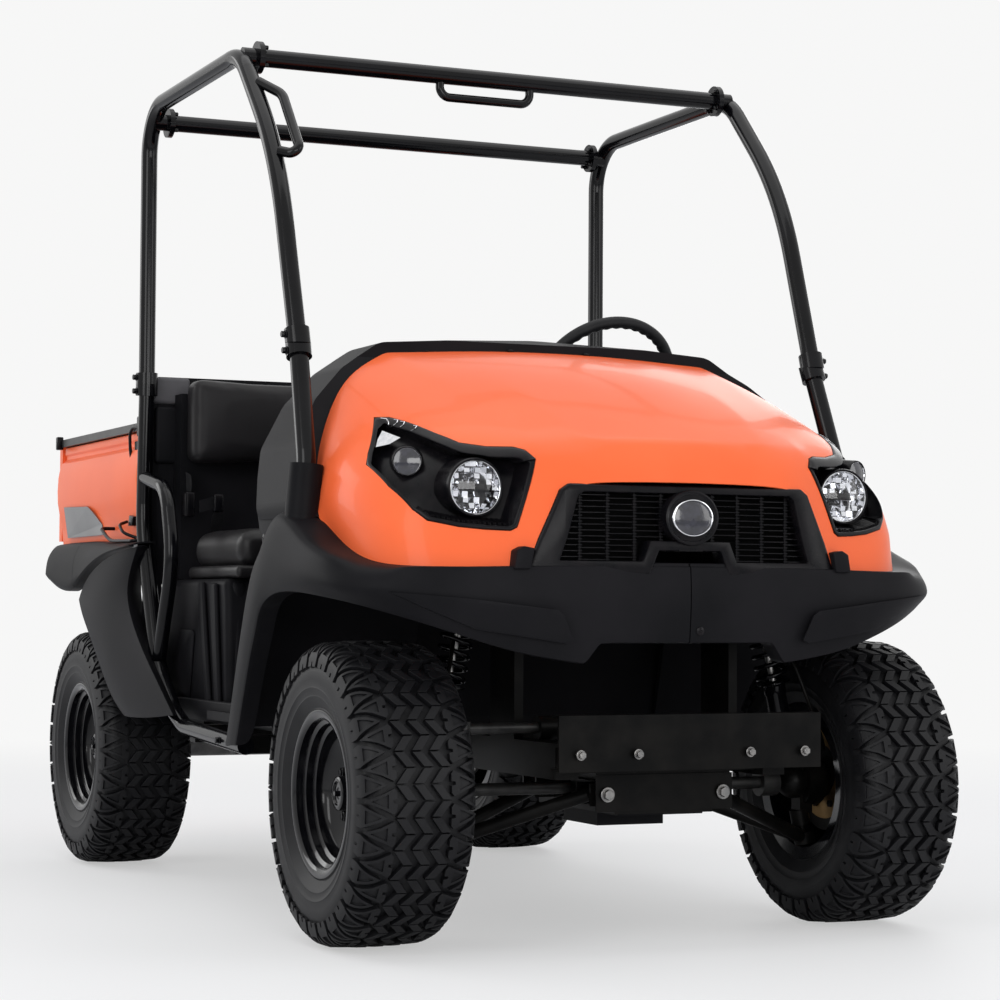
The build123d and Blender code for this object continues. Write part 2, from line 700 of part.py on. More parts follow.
def rear_bumper():
    """The rear bar with the square hitch socket and its pin hole under it."""
    socket = 25.4
    middle_z = 470 - 32
    bar = block(-420, 420, 1270, 1300, 470, 530)
    bar += block(-32, 32, 1180, HALF_LENGTH, middle_z - 32, middle_z + 32)
    bar -= block(-socket, socket, 1190, HALF_LENGTH, middle_z - socket, middle_z + socket)
    return bar - rod((-40, HITCH_PIN_Y, middle_z), (40, HITCH_PIN_Y, middle_z), HITCH_PIN_R)


def tail_lamp():
    return block(330, 410, 1265, 1300, 530, 600)


def muffler():
    return rod((-170, 1040, 595), (170, 1040, 595), 70)


# ---------------------------------------------------------------- load bed

def bed_floor():
    half = BED_HALF - BED_WALL
    floor = block(-half, half, BED_FRONT + BED_WALL, BED_REAR, BED_FLOOR_Z - 15, BED_FLOOR_Z)
    for side in (-1, 1):
        channel = block(RAIL_IN, RAIL_OUT, 480, 1100, 785, BED_FLOOR_Z - 15)
        lug = side_prism([
            (BED_PIVOT_Y - 30, BED_FLOOR_Z - 15, 0), (BED_PIVOT_Y - 18, BED_PIVOT_Z - 18, 14),
            (BED_PIVOT_Y + 18, BED_PIVOT_Z - 18, 14), (BED_PIVOT_Y + 30, BED_FLOOR_Z - 15, 0),
        ], RAIL_OUT + 8, RAIL_OUT + 24)
        lug -= across((BED_PIVOT_Y, BED_PIVOT_Z), RAIL_OUT, RAIL_OUT + 40, 10 + RUNNING)
        ear = side_prism([
            (BED_REAR - 30, BED_FLOOR_Z - 15, 0), (BED_REAR, BED_FLOOR_Z, 0),
            (GATE_PIVOT_Y + 12, GATE_PIVOT_Z + 12, 11), (GATE_PIVOT_Y + 12, GATE_PIVOT_Z - 12, 11),
            (GATE_PIVOT_Y - 12, GATE_PIVOT_Z - 12, 11)], 480, 500)
        ear -= across((GATE_PIVOT_Y, GATE_PIVOT_Z), 470, 510, 6 + RUNNING)
        floor += channel + lug + ear if side > 0 else other_side(channel + lug + ear)
    return floor


def bed_side():
    return block(BED_HALF - BED_WALL, BED_HALF, BED_FRONT, BED_REAR, BED_FLOOR_Z - 15, BED_RAIL_Z - 20)


def bed_front():
    half = BED_HALF - BED_WALL
    return block(-half, half, BED_FRONT, BED_FRONT + BED_WALL, BED_FLOOR_Z - 15, BED_RAIL_Z - 20)


def bed_rail():
    return block(BED_HALF - 40, BED_HALF + 8, BED_FRONT - 5, BED_REAR, BED_RAIL_Z - 20, BED_RAIL_Z)


def bed_flare():
    """The left flare over the rear wheel, fixed under the bed's side."""
    rows = [(332, 822, 0), (340, 810, 0), (560, 800, 40), (740, 752, 40), (850, 704, 40), (1000, 715, 60),
            (1156, 752, 20), (1150, 800, 20), (1090, 830, 20)]
    flare = side_prism(rows, 600, 672)
    flare -= block(590, 655, 300, 1200, 700, 815)
    return flare - block(590, 645, 300, 412, 700, 900)


def tailgate():
    """The drop-down gate, hinged below its bottom edge."""
    gate = block(-BED_HALF, BED_HALF, 1250, 1278, 845, BED_RAIL_Z - 10)
    for side in (-1, 1):
        arm = side_prism([
            (1250, 850, 0), (GATE_PIVOT_Y - 11, GATE_PIVOT_Z - 11, 10),
            (GATE_PIVOT_Y + 11, GATE_PIVOT_Z - 11, 10), (1276, 850, 0)], 506, 522)
        arm += rod((478, GATE_PIVOT_Y, GATE_PIVOT_Z), (522, GATE_PIVOT_Y, GATE_PIVOT_Z), 6)
        gate += arm if side > 0 else other_side(arm)
    return gate


# ---------------------------------------------------------------- every node

def nodes():
    """Each node's name with its solid."""
    body = hood_body()
    made = {
        "frame_cross_members": frame_cross_members(),
        "front_beam": front_beam(),
        "skid_plate": skid_plate(),
        "front_subframe": front_subframe(),
        "front_driveline": front_driveline(),
        "steering_rack_housing": rack_housing(),
        "tie_rods": tie_rods(),
        "rear_axle": rear_axle(),
        "hood": hood(body),
        "grille": grille(),
        "dashboard": dashboard(body),
        "floor_and_firewall": floor_and_firewall(),
        "seat_base": seat_base(),
        "rear_panel": rear_panel(),
        "engine_block": engine_block(),
        "rear_bumper": rear_bumper(),
        "muffler": muffler(),
        "steering_column": steering_column(),
        "steering_wheel": steering_wheel(),
        "bed_floor": bed_floor(),
        "bed_front": bed_front(),
        "tailgate": tailgate(),
        "front_cross_bar": cross_bar(*CROSS_BARS[0]) + overhead_handle(),
        "rear_cross_bar": cross_bar(*CROSS_BARS[1]),
    }
    # the left piece and its mirror image share a node
    for name, shape in {
        "frame_rails": frame_rail(),
        "strut_towers": strut_tower(),
        "lower_arms": lower_arm(),
        "leaf_springs": leaf_spring() + rear_shock(),
        "headlamp_lenses": headlamp_lenses(),
        "pillar_boots": pillar_boot(),
        "lower_posts": front_pillar() + rear_leg(),
        "dash_sides": dash_side(body),
        "rear_fenders": rear_fender() + rear_fender_stay(),
        "tail_lamps": tail_lamp(),
        "bed_sides": bed_side(),
        "bed_rails": bed_rail(),
        "bed_flares": bed_flare(),
    }.items():
        made[name] = shape + other_side(shape)
    # the left piece and its mirror image are two nodes
    for name, shape in {
        "knuckle": knuckle(),
        "strut": strut() + coil_spring(),
        "headlamp": headlamp(body),
        "front_fender": front_fender(body),
        "roll_hoop": roll_hoop(),
        "seat_cushion": seat_cushion(),
        "seat_back": seat_back(),
    }.items():
        made[name + "_left"] = shape
        made[name + "_right"] = other_side(shape)
    made["roll_hoop_right"] += grab_loop()
    # wheels: name, x, y
    for name, x, y in [("front", FRONT_WHEEL_X, FRONT_AXLE_Y), ("rear", REAR_WHEEL_X, REAR_AXLE_Y)]:
        for part, shape in (("rim", rim()), ("tyre", tyre())):
            placed = Pos(x, y, AXLE_Z) * shape
            made[name + "_" + part + "_left"] = placed
            made[name + "_" + part + "_right"] = other_side(placed)
    return made


os.makedirs("parts", exist_ok=True)
for node, solid in nodes().items():
    export_step(solid, "parts/" + node + ".step")
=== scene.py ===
import math
import bmesh
import bpy
from mathutils import Matrix, Vector


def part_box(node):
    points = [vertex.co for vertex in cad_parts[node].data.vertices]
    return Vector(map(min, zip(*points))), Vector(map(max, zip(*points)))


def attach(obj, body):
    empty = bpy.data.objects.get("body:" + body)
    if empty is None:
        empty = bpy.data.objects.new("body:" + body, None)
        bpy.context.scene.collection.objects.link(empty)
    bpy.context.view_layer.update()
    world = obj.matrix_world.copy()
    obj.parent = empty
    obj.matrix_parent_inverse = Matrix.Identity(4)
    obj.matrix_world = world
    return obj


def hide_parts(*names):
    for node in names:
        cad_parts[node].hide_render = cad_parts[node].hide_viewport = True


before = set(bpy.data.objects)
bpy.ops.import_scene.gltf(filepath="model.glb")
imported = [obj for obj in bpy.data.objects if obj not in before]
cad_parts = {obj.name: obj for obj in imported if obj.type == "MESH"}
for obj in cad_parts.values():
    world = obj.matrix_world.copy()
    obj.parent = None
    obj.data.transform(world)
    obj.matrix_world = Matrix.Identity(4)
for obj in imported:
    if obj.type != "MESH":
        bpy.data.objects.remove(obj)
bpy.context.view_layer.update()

# ---------------------------------------------------------------- camera
# Stands low, ahead of the vehicle's right corner and about five metres from its nose, with a long
# lens. Its place, aim and lens are fixed.
eye = Vector((-2.3714, -5.7328, 0.6701))
yaw, pitch, roll = math.radians(23.958), math.radians(2.389), math.radians(0.281)
ahead = Vector((math.sin(yaw) * math.cos(pitch), math.cos(yaw) * math.cos(pitch), math.sin(pitch)))
level = Vector((math.cos(yaw), -math.sin(yaw), 0))
above = level.cross(ahead)
to_right = math.cos(roll) * level + math.sin(roll) * above
upward = -math.sin(roll) * level + math.cos(roll) * above
turn = Matrix((to_right, upward, -ahead)).transposed()
bpy.ops.object.camera_add(location=eye, rotation=turn.to_euler())
camera = bpy.context.object
camera.data.sensor_width = 36
camera.data.lens = 92.05
camera.data.clip_end = 100
bpy.context.scene.camera = camera
bpy.context.scene.view_settings.view_transform = "Standard"

# ---------------------------------------------------------------- studio
# A pale floor that fades into a white surround, with soft boxes over the roof, in front and beyond
# each of the vehicle's four corners.


def deselect():
    bpy.ops.object.select_all(action="DESELECT")


def set_sockets(node, **sockets):
    """Gives a shader node's input sockets their values, or links outputs into them."""
    for name, value in sockets.items():
        socket = node.inputs[name.replace("_", " ")]
        if isinstance(value, bpy.types.NodeSocket):
            node.id_data.links.new(value, socket)
        else:
            socket.default_value = value


def node_of(owner, kind, **sockets):
    """A new shader node in a material or in the world, with its input sockets set or linked."""
    made = owner.node_tree.nodes.new(kind)
    set_sockets(made, **sockets)
    return made


def worked_out(owner, operation, first, second):
    """The result of a maths node on two outputs."""
    made = node_of(owner, "ShaderNodeMath")
    made.operation = operation
    owner.node_tree.links.new(first, made.inputs[0])
    owner.node_tree.links.new(second, made.inputs[1])
    return made.outputs[0]


def mixed(owner, share, first, second):
    """A mix of two shaders, by how much of the second."""
    made = node_of(owner, "ShaderNodeMixShader", Fac=share)
    owner.node_tree.links.new(first.outputs[0], made.inputs[1])
    owner.node_tree.links.new(second.outputs[0], made.inputs[2])
    return made.outputs[0]


def new_material(name):
    """A material with nodes, and its surface shader."""
    made = bpy.data.materials.new(name)
    made.use_nodes = True
    return made, made.node_tree.nodes["Principled BSDF"]


deselect()
bpy.ops.mesh.primitive_plane_add(size=60, location=(0, 0, -0.0008))
floor = bpy.context.object
floor.name = "studio_floor"
floor_paint, floor_shader = new_material("pale_floor")
set_sockets(floor_shader, Base_Color=(0.86, 0.855, 0.85, 1), Roughness=0.6, Specular_IOR_Level=0.25)
far = node_of(floor_paint, "ShaderNodeVectorMath",
              Vector=node_of(floor_paint, "ShaderNodeTexCoord").outputs["Object"])
far.operation = "LENGTH"
fade = node_of(floor_paint, "ShaderNodeMapRange", Value=far.outputs["Value"], From_Min=2.2, From_Max=7.0,
               To_Min=0.5)
fade.interpolation_type = "SMOOTHSTEP"
looked = node_of(floor_paint, "ShaderNodeLightPath")
faded = worked_out(floor_paint, "MULTIPLY", fade.outputs[0], looked.outputs["Is Camera Ray"])
backdrop = node_of(floor_paint, "ShaderNodeEmission", Color=(0.93, 0.93, 0.928, 1), Strength=1.0)
set_sockets(floor_paint.node_tree.nodes["Material Output"],
            Surface=mixed(floor_paint, faded, floor_shader, backdrop))
floor.data.materials.append(floor_paint)

world = bpy.context.scene.world or bpy.data.worlds.new("studio")
bpy.context.scene.world = world
world.use_nodes = True
world.node_tree.nodes.clear()
seen = node_of(world, "ShaderNodeLightPath")
any_seen = worked_out(world, "MAXIMUM", seen.outputs["Is Camera Ray"], seen.outputs["Is Transmission Ray"])
mirrored = worked_out(world, "MAXIMUM", any_seen, seen.outputs["Is Glossy Ray"])
lit = node_of(world, "ShaderNodeBackground", Color=(0.9, 0.93, 1.0, 1), Strength=0.55)
white = node_of(world, "ShaderNodeBackground", Color=(0.93, 0.93, 0.928, 1), Strength=1.0)
node_of(world, "ShaderNodeOutputWorld", Surface=mixed(world, mirrored, lit, white))

# place, aim, width, height, watts
for place, aim, width, height, watts in [
    ((0.0, -0.6, 4.2), (0, 0, 0.8), 5.0, 3.2, 60),
    ((-4.6, -3.4, 2.6), (0, -0.4, 0.7), 2.2, 3.4, 80),
    ((4.4, -4.6, 2.2), (0, -0.6, 0.8), 2.4, 3.0, 45),
    ((-0.6, -6.6, 1.5), (0, -1, 0.6), 3.6, 1.6, 76),
    ((-3.8, 4.2, 2.8), (0, 0.3, 0.9), 2.6, 2.6, 60),
    ((4.0, 4.0, 2.8), (0, 0.3, 0.9), 2.6, 2.6, 40),
]:
    aimed = (Vector(aim) - Vector(place)).to_track_quat("-Z", "Y").to_euler()
    bpy.ops.object.light_add(type="AREA", location=place, rotation=aimed)
    box_light = bpy.context.object
    box_light.data.shape = "RECTANGLE"
    box_light.data.size = width
    box_light.data.size_y = height
    box_light.data.energy = watts

# ---------------------------------------------------------------- hood
# One moulded orange shell, glossy, over the nose: a raised flat panel in its middle, a crease down
# each side of it to the lamps, and flanks that roll under. It is mirrored from its left half.


def select_only(piece):
    """Makes a piece the only one selected, and the active one."""
    deselect()
    piece.select_set(True)
    bpy.context.view_layer.objects.active = piece


def own_copy(piece):
    """A copy of a piece, with its own mesh."""
    made = piece.copy()
    made.data = piece.data.copy()
    bpy.context.collection.objects.link(made)
    return made


def enter_edit():
    bpy.ops.object.mode_set(mode="EDIT")


def leave_edit():
    bpy.ops.object.mode_set(mode="OBJECT")


def in_metres(points):
    """Points given in millimetres, as vectors in metres."""
    return [Vector(point) / 1000 for point in points]


def panel_from_rows(name, rows):
    """A grid of quads whose crossings are given row by row, in metres."""
    deselect()
    across, along = len(rows[0]) - 1, len(rows) - 1
    bpy.ops.mesh.primitive_grid_add(x_subdivisions=across, y_subdivisions=along, size=1)
    made = bpy.context.object
    made.name = name
    for corner, place in zip(made.data.vertices, [point for row in rows for point in row]):
        corner.co = place
    return made


def crease(piece, points, amount):
    """Sharpens the edges that join any two of the points, which are in millimetres."""
    places = in_metres(points)
    mesh = piece.data
    chosen = [any((corner.co - place).length < 0.0001 for place in places) for corner in mesh.vertices]
    sharp = mesh.attributes.get("crease_edge") or mesh.attributes.new("crease_edge", "FLOAT", "EDGE")
    for edge in mesh.edges:
        if all(chosen[end] for end in edge.vertices):
            sharp.data[edge.index].value = amount


def crease_column(piece, rows, column, amount, first=0, last=None):
    """Sharpens one column of a panel, all along it or between two of its rows."""
    end = None if last is None else last + 1
    crease(piece, [row[column] for row in rows[first:end]], amount)


def finish_with(piece, kind, **settings):
    """Adds a modifier, sets it and applies it."""
    select_only(piece)
    added = piece.modifiers.new(kind.lower(), kind)
    for name, value in settings.items():
        setattr(added, name, value)
    bpy.ops.object.modifier_apply(modifier=added.name)


def bevelled(piece, width, segments, degrees=40):
    """Rounds the edges that turn by more than an angle, over a width in metres."""
    finish_with(piece, "BEVEL", width=width, segments=segments, limit_method="ANGLE",
                angle_limit=math.radians(degrees))


def smooth(piece, degrees=35):
    select_only(piece)
    bpy.ops.object.shade_smooth_by_angle(angle=math.radians(degrees))


def outward(piece):
    """Merges doubled corners and turns every face outwards."""
    select_only(piece)
    enter_edit()
    bpy.ops.mesh.select_all(action="SELECT")
    bpy.ops.mesh.remove_doubles(threshold=0.00005)
    bpy.ops.mesh.normals_make_consistent(inside=False)
    leave_edit()


def prism(name, points, push):
    """A plate: its outline's corners in order, pushed through by a vector."""
    deselect()
    bpy.ops.mesh.primitive_circle_add(vertices=len(points), radius=1, fill_type="NGON")
    made = bpy.context.object
    made.name = name
    for corner, place in zip(made.data.vertices, points):
        corner.co = place
    enter_edit()
    bpy.ops.mesh.select_all(action="SELECT")
    bpy.ops.mesh.extrude_region_move(TRANSFORM_OT_translate={"value": push})
    leave_edit()
    outward(made)
    return made


def block(name, low, high):
    """A squared block between two opposite corners."""
    (x0, y0, z0), (x1, y1, z1) = low, high
    return prism(name, [(x0, y0, z0), (x1, y0, z0), (x1, y1, z0), (x0, y1, z0)], (0, 0, z1 - z0))


def cut_by(piece, cutter, operation="DIFFERENCE"):
    finish_with(piece, "BOOLEAN", operation=operation, object=cutter, solver="EXACT")
    bpy.data.objects.remove(cutter)


# rows from the rear edge to the grille, each from the middle out to the lower edge, in millimetres
hood_rows = [
    [(0, -610, 1236), (150, -615, 1233), (280, -628, 1224), (381, -650, 1213), (480, -690, 1164),
     (540, -735, 1084), (590, -797, 980), (608, -840, 905), (620, -872, 850)],
    [(0, -760, 1207), (135, -762, 1204), (262, -768, 1193), (368, -780, 1176), (480, -806, 1130),
     (553, -850, 1047), (602, -900, 948), (614, -930, 872), (600, -925, 815)],
    [(0, -924, 1160), (120, -924, 1158), (240, -924, 1147), (350, -940, 1116), (466, -960, 1075),
     (547, -985, 1007), (596, -1010, 925), (604, -1022, 850), (600, -1006, 778)],
    [(0, -1090, 1090), (112, -1090, 1089), (222, -1090, 1078), (322, -1100, 1050), (430, -1100, 1031),
     (508, -1105, 977), (566, -1105, 908), (585, -1108, 836), (594, -1096, 750)],
    [(0, -1200, 1036), (108, -1200, 1035), (211, -1198, 1027), (305, -1200, 1004), (392, -1190, 982),
     (464, -1180, 945), (530, -1172, 893), (552, -1174, 820), (560, -1179, 740)],
    [(0, -1268, 1000), (106, -1267, 999), (206, -1260, 994), (300, -1243, 980), (362, -1238, 938),
     (418, -1228, 893), (470, -1218, 850), (489, -1221, 798), (494, -1237, 735)],
    [(0, -1300, 950), (114, -1299, 949), (214, -1294, 944), (286, -1276, 928), (322, -1268, 896),
     (352, -1264, 858), (378, -1260, 820), (394, -1261, 780), (406, -1267, 735)],
    [(0, -1309, 915), (120, -1308, 914), (218, -1304, 911), (256, -1300, 897), (280, -1296, 868),
     (300, -1293, 830), (316, -1291, 800), (330, -1290, 765), (344, -1289, 734)],
]
hood_shell = panel_from_rows("hood_shell", [in_metres(row) for row in hood_rows])
crease_column(hood_shell, hood_rows, 3, 0.55, 0, 5)
crease_column(hood_shell, hood_rows, 2, 0.5, 2, 5)
crease_column(hood_shell, hood_rows, 7, 0.6, 3, 6)
crease(hood_shell, hood_rows[5][:3], 0.5)
finish_with(hood_shell, "MIRROR", use_axis=(True, False, False), use_clip=True)
outward(hood_shell)
finish_with(hood_shell, "SUBSURF", levels=3, render_levels=3)
outward(hood_shell)
# the skin is 4 mm thick, and is cut through where the lamps sit
finish_with(hood_shell, "SOLIDIFY", thickness=0.004, offset=-1)
hood_skin = own_copy(hood_shell)
hood_skin.name = "hood_skin"

# the left lamp's outline seen from the front, x and z in millimetres
lamp_outline = [
    (304, 956), (318, 975), (336, 981), (382, 982), (423, 990), (452, 1012), (476, 1036), (495, 1050),
    (514, 1051), (536, 1012), (558, 972), (568, 949), (555, 901), (530, 855), (509, 834), (456, 822),
    (409, 817), (364, 815), (352, 822),
]
for side in (1, -1):
    opening = prism("lamp_opening", [(side * x / 1000, -1.4, z / 1000) for x, z in lamp_outline], (0, 0.56, 0))
    cut_by(hood_shell, opening)
smooth(hood_shell, 30)


def mottled(name, low, high, scale=5.0, grain=900.0, strength=0.1, depth=0.0005, **sockets):
    """A material whose colour drifts between two tones, with a grain in its surface."""
    made, shader = new_material(name)
    place = node_of(made, "ShaderNodeTexCoord").outputs["Object"]
    drift = node_of(made, "ShaderNodeTexNoise", Vector=place, Scale=scale, Detail=4.0)
    tone = node_of(made, "ShaderNodeValToRGB", Fac=drift.outputs["Fac"])
    for stop, position, colour in zip(tone.color_ramp.elements, (0.36, 0.66), (low, high)):
        stop.position = position
        stop.color = (*colour, 1)
    pits = node_of(made, "ShaderNodeTexNoise", Vector=place, Scale=grain, Detail=2.0)
    bump = node_of(made, "ShaderNodeBump", Height=pits.outputs["Fac"], Strength=strength, Distance=depth)
    set_sockets(shader, Base_Color=tone.outputs["Color"], Normal=bump.outputs["Normal"], **sockets)
    return made


def paint_with(piece, mat):
    piece.data.materials.clear()
    piece.data.materials.append(mat)


# gloss moulded orange, with a faint ripple under its clear coat
orange = mottled("moulded_orange", (0.90, 0.142, 0.042), (0.95, 0.162, 0.052), scale=3.0, grain=160.0,
                 strength=0.02, depth=0.002, Roughness=0.34, Specular_IOR_Level=0.12, Coat_Weight=0.12,
                 Coat_Roughness=0.05)
paint_with(hood_shell, orange)
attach(hood_shell, "chassis")
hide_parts("hood")

# ---------------------------------------------------------------- front fenders and bumper
# Two black moulded halves, left and right, that meet at a seam in the middle of the bumper. Each runs
# round the nose, over the wheel and down a leg to the sill, with a raised wedge on the bumper's cheek.

# stations from the middle seam round the wheel to the foot of the leg; each from its inner top edge,
# over the outer edges, to the return under it, in millimetres
fender_rows = [
    [(1.2, -1275, 747), (1.2, -1294, 751), (1.2, -1316, 750), (1.2, -1321, 690), (1.2, -1312, 600),
     (1.2, -1262, 603)],
    [(188, -1270, 747), (188, -1288, 751), (188, -1310, 750), (188, -1315, 690), (190, -1306, 600),
     (190, -1256, 603)],
    [(222, -1268, 747), (222, -1286, 751), (222, -1308, 750), (222, -1313, 680), (220, -1299, 559),
     (220, -1249, 563)],
    [(340, -1262, 745), (342, -1278, 749), (346, -1301, 748), (350, -1307, 680), (346, -1291, 577),
     (338, -1245, 582)],
    [(408, -1238, 743), (418, -1254, 747), (436, -1283, 746), (444, -1292, 684), (430, -1271, 603),
     (415, -1228, 608)],
    [(474, -1202, 742), (488, -1216, 746), (518, -1256, 746), (532, -1264, 690), (512, -1240, 631),
     (485, -1196, 636)],
    [(516, -1152, 744), (530, -1160, 749), (594, -1212, 748), (610, -1216, 698), (582, -1192, 655),
     (545, -1152, 660)],
    [(536, -1085, 750), (553, -1083, 757), (652, -1146, 756), (666, -1150, 702), (645, -1132, 677),
     (598, -1100, 680)],
    [(556, -1005, 778), (572, -1000, 785), (676, -1050, 778), (692, -1058, 716), (680, -1050, 690),
     (632, -1035, 692)],
    [(580, -932, 812), (598, -925, 821), (680, -955, 806), (697, -956, 732), (690, -955, 698), (650, -955, 699)],
    [(606, -880, 846), (624, -872, 858), (682, -880, 846), (698, -880, 748), (694, -874, 698), (652, -870, 699)],
    [(632, -780, 862), (650, -776, 878), (688, -770, 868), (698, -810, 750), (693, -806, 690), (652, -803, 692)],
    [(632, -728, 800), (650, -716, 808), (688, -706, 792), (698, -740, 714), (693, -744, 668), (652, -744, 670)],
    [(632, -656, 705), (650, -646, 706), (688, -640, 692), (697, -684, 656), (693, -722, 622), (652, -722, 622)],
    [(632, -598, 590), (650, -588, 588), (687, -584, 566), (694, -634, 566), (691, -676, 560), (652, -676, 560)],
    [(632, -548, 470), (650, -538, 468), (685, -534, 452), (691, -580, 456), (689, -624, 460), (652, -624, 460)],
    [(632, -510, 378), (650, -500, 376), (684, -498, 372), (690, -538, 374), (688, -582, 376), (652, -582, 376)],
]
fender_shell = panel_from_rows("front_fender_left_shell", [in_metres(row) for row in fender_rows])
for column, first, last, amount in [
    (1, 0, 10, 0.9), (2, 0, 6, 0.85), (3, 2, 8, 0.35), (4, 0, 16, 0.95), (2, 7, 11, 0.4), (2, 12, 16, 0.8),
]:
    crease_column(fender_shell, fender_rows, column, amount, first, last)
for row, amount in zip(fender_rows, (1.0, 0.7, 0.7)):
    crease(fender_shell, row, amount)
finish_with(fender_shell, "SUBSURF", levels=3, render_levels=3)
outward(fender_shell)
finish_with(fender_shell, "SOLIDIFY", thickness=0.004, offset=-1)


def other_hand(piece, name):
    """The mirror image of a finished piece, with its own mesh, across the middle of the vehicle."""
    twin = own_copy(piece)
    twin.name = name
    select_only(twin)
    bpy.ops.transform.resize(value=(-1, 1, 1), center_override=(0, 0, 0))
    bpy.ops.object.transform_apply(location=True, rotation=True, scale=True)
    enter_edit()
    bpy.ops.mesh.select_all(action="SELECT")
    bpy.ops.mesh.flip_normals()
    leave_edit()
    return twin


def joined(pieces, name):
    """Several finished pieces made one object."""
    deselect()
    for piece in pieces:
        piece.select_set(True)
    bpy.context.view_layer.objects.active = pieces[0]
    bpy.ops.object.join()
    pieces[0].name = name
    return pieces[0]


# the liner behind the wheel, and the wedge on the cheek
liner_wall = prism("liner_wall", [(0.30, -0.746, 0.735), (0.30, -0.655, 0.735), (0.30, -0.572, 0.415),
                                  (0.30, -0.584, 0.415), (0.30, -0.662, 0.700), (0.30, -0.746, 0.704)],
                   (0.352, 0, 0))
liner_roof = block("liner_roof", (0.42, -1.06, 0.704), (0.62, -0.746, 0.735))
cheek = prism("cheek_wedge", [(0.594, -1.40, 0.697), (0.45, -1.40, 0.684), (0.284, -1.40, 0.664),
                              (0.272, -1.40, 0.655), (0.250, -1.40, 0.606), (0.262, -1.40, 0.600),
                              (0.441, -1.40, 0.627), (0.544, -1.40, 0.672)], (0, 0.2, 0))
cheek_block = own_copy(fender_shell)
cut_by(cheek_block, cheek, "INTERSECT")
for corner in cheek_block.data.vertices:
    rise = 0.015 * min(1, max(0, (0.64 - corner.co.x) / 0.26))
    corner.co += Vector((0.25, -0.97, 0)) * rise
bevelled(cheek_block, 0.0015, 2, 50)

# a raised block under the grille's notch and a pad at the grille's foot
notch_block = prism("notch_block", [(0.0012, -1.262, 0.736), (0.088, -1.262, 0.736), (0.080, -1.262, 0.757),
                                    (0.0012, -1.262, 0.757)], (0, -0.050, 0))
foot_pad = prism("foot_pad", [(0.338, -1.27, 0.742), (0.372, -1.27, 0.742), (0.366, -1.27, 0.778),
                              (0.352, -1.27, 0.786), (0.330, -1.27, 0.782)], (0, -0.036, 0))
for piece in (notch_block, foot_pad):
    bevelled(piece, 0.003, 3)
fender_left = joined([fender_shell, liner_wall, liner_roof, cheek_block, notch_block, foot_pad],
                     "front_fender_left_shell")
smooth(fender_left, 32)

# fine-grained black moulding: a tight pebble in its surface
moulding = mottled("grained_black_moulding", (0.007, 0.007, 0.008), (0.011, 0.0105, 0.012), strength=0.12,
                   depth=0.0006, Roughness=0.44, Specular_IOR_Level=0.045)
paint_with(fender_left, moulding)
fender_right = other_hand(fender_left, "front_fender_right_shell")
for fender, node in [(fender_left, "front_fender_left"), (fender_right, "front_fender_right")]:
    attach(fender, "chassis")
    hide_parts(node)

# ---------------------------------------------------------------- headlamps
# Moulded black housings let into the hood: a satin bezel, heavier along its brow, round a bowl with
# a large clear lamp and a small smoked one and fine ribs along the bowl's foot; a plated patch at its outer end is
# a painted reflection, and four plated strips on the brow are painted highlights.


def densified(points, step):
    """A closed outline with corners added along its long edges, its first corner repeated at the end."""
    path = []
    for (x0, z0), (x1, z1) in zip(points, points[1:] + points[:1]):
        count = max(1, round(math.hypot(x1 - x0, z1 - z0) / step))
        path += [(x0 + (x1 - x0) * k / count, z0 + (z1 - z0) * k / count) for k in range(count)]
    return path + path[:1]


def drawn_in(path, amounts):
    """A closed outline with each corner moved in by its own amount."""
    ring = path[:-1]
    moved = []
    for k, (x, z) in enumerate(ring):
        before, after = ring[k - 1], ring[(k + 1) % len(ring)]
        along = Vector((after[0] - before[0], after[1] - before[1])).normalized()
        moved.append((x + along.y * amounts[k], z - along.x * amounts[k]))
    return moved + moved[:1]


def skin_y(x, z):
    """How far forward the hood's skin is, straight behind a point of the front view."""
    found, place = hood_skin.ray_cast(Vector((x / 1000, -1.6, z / 1000)), Vector((0, 1, 0)))[:2]
    return place.y * 1000 if found else -1000


def turned(name, profile, steps=96):
    """A ring turned about the X axis from its closed profile of (x, radius) in millimetres."""
    deselect()
    bpy.ops.mesh.primitive_circle_add(vertices=len(profile), radius=1, fill_type="NOTHING")
    made = bpy.context.object
    made.name = name
    for corner, (x, radius) in zip(made.data.vertices, profile):
        corner.co = (x / 1000, 0, radius / 1000)
    enter_edit()
    bpy.ops.mesh.select_all(action="SELECT")
    bpy.ops.mesh.spin(steps=steps, angle=2 * math.pi, center=(0, 0, 0), axis=(1, 0, 0))
    leave_edit()
    outward(made)
    return made


def stood(piece, place, turn=(0, 0, 0)):
    """Turns a piece about the origin, moves it to its place in millimetres and applies both."""
    select_only(piece)
    piece.rotation_euler = [math.radians(angle) for angle in turn]
    piece.location = [at / 1000 for at in place]
    bpy.ops.object.transform_apply(location=True, rotation=True, scale=True)
    return piece


lamp_path = densified(lamp_outline, 9)
brow_from, brow_to = (304, 956), (514, 1051)
brow_ends = [min(range(len(lamp_path)), key=lambda k: math.dist(lamp_path[k], end)) for end in (brow_from, brow_to)]
brow = [1.0 if brow_ends[0] <= k <= brow_ends[1] else 0.0 for k in range(len(lamp_path))]
# the bezel is slimmer round the outer end than elsewhere
slimmed = [0.5 if x > 524 and not share else 1.0 for (x, z), share in zip(lamp_path, brow)]


def bezel_row(inset, brow_inset, back, brow_back):
    """One loop of the bezel: how far in from the opening's edge, and how far behind the hood's skin."""
    path = drawn_in(lamp_path,
                    [(inset + (brow_inset - inset) * share) * slim for share, slim in zip(brow, slimmed)])
    return [Vector((x, skin_y(x, z) + back + (brow_back - back) * share, z)) / 1000
            for (x, z), share in zip(path, brow)]


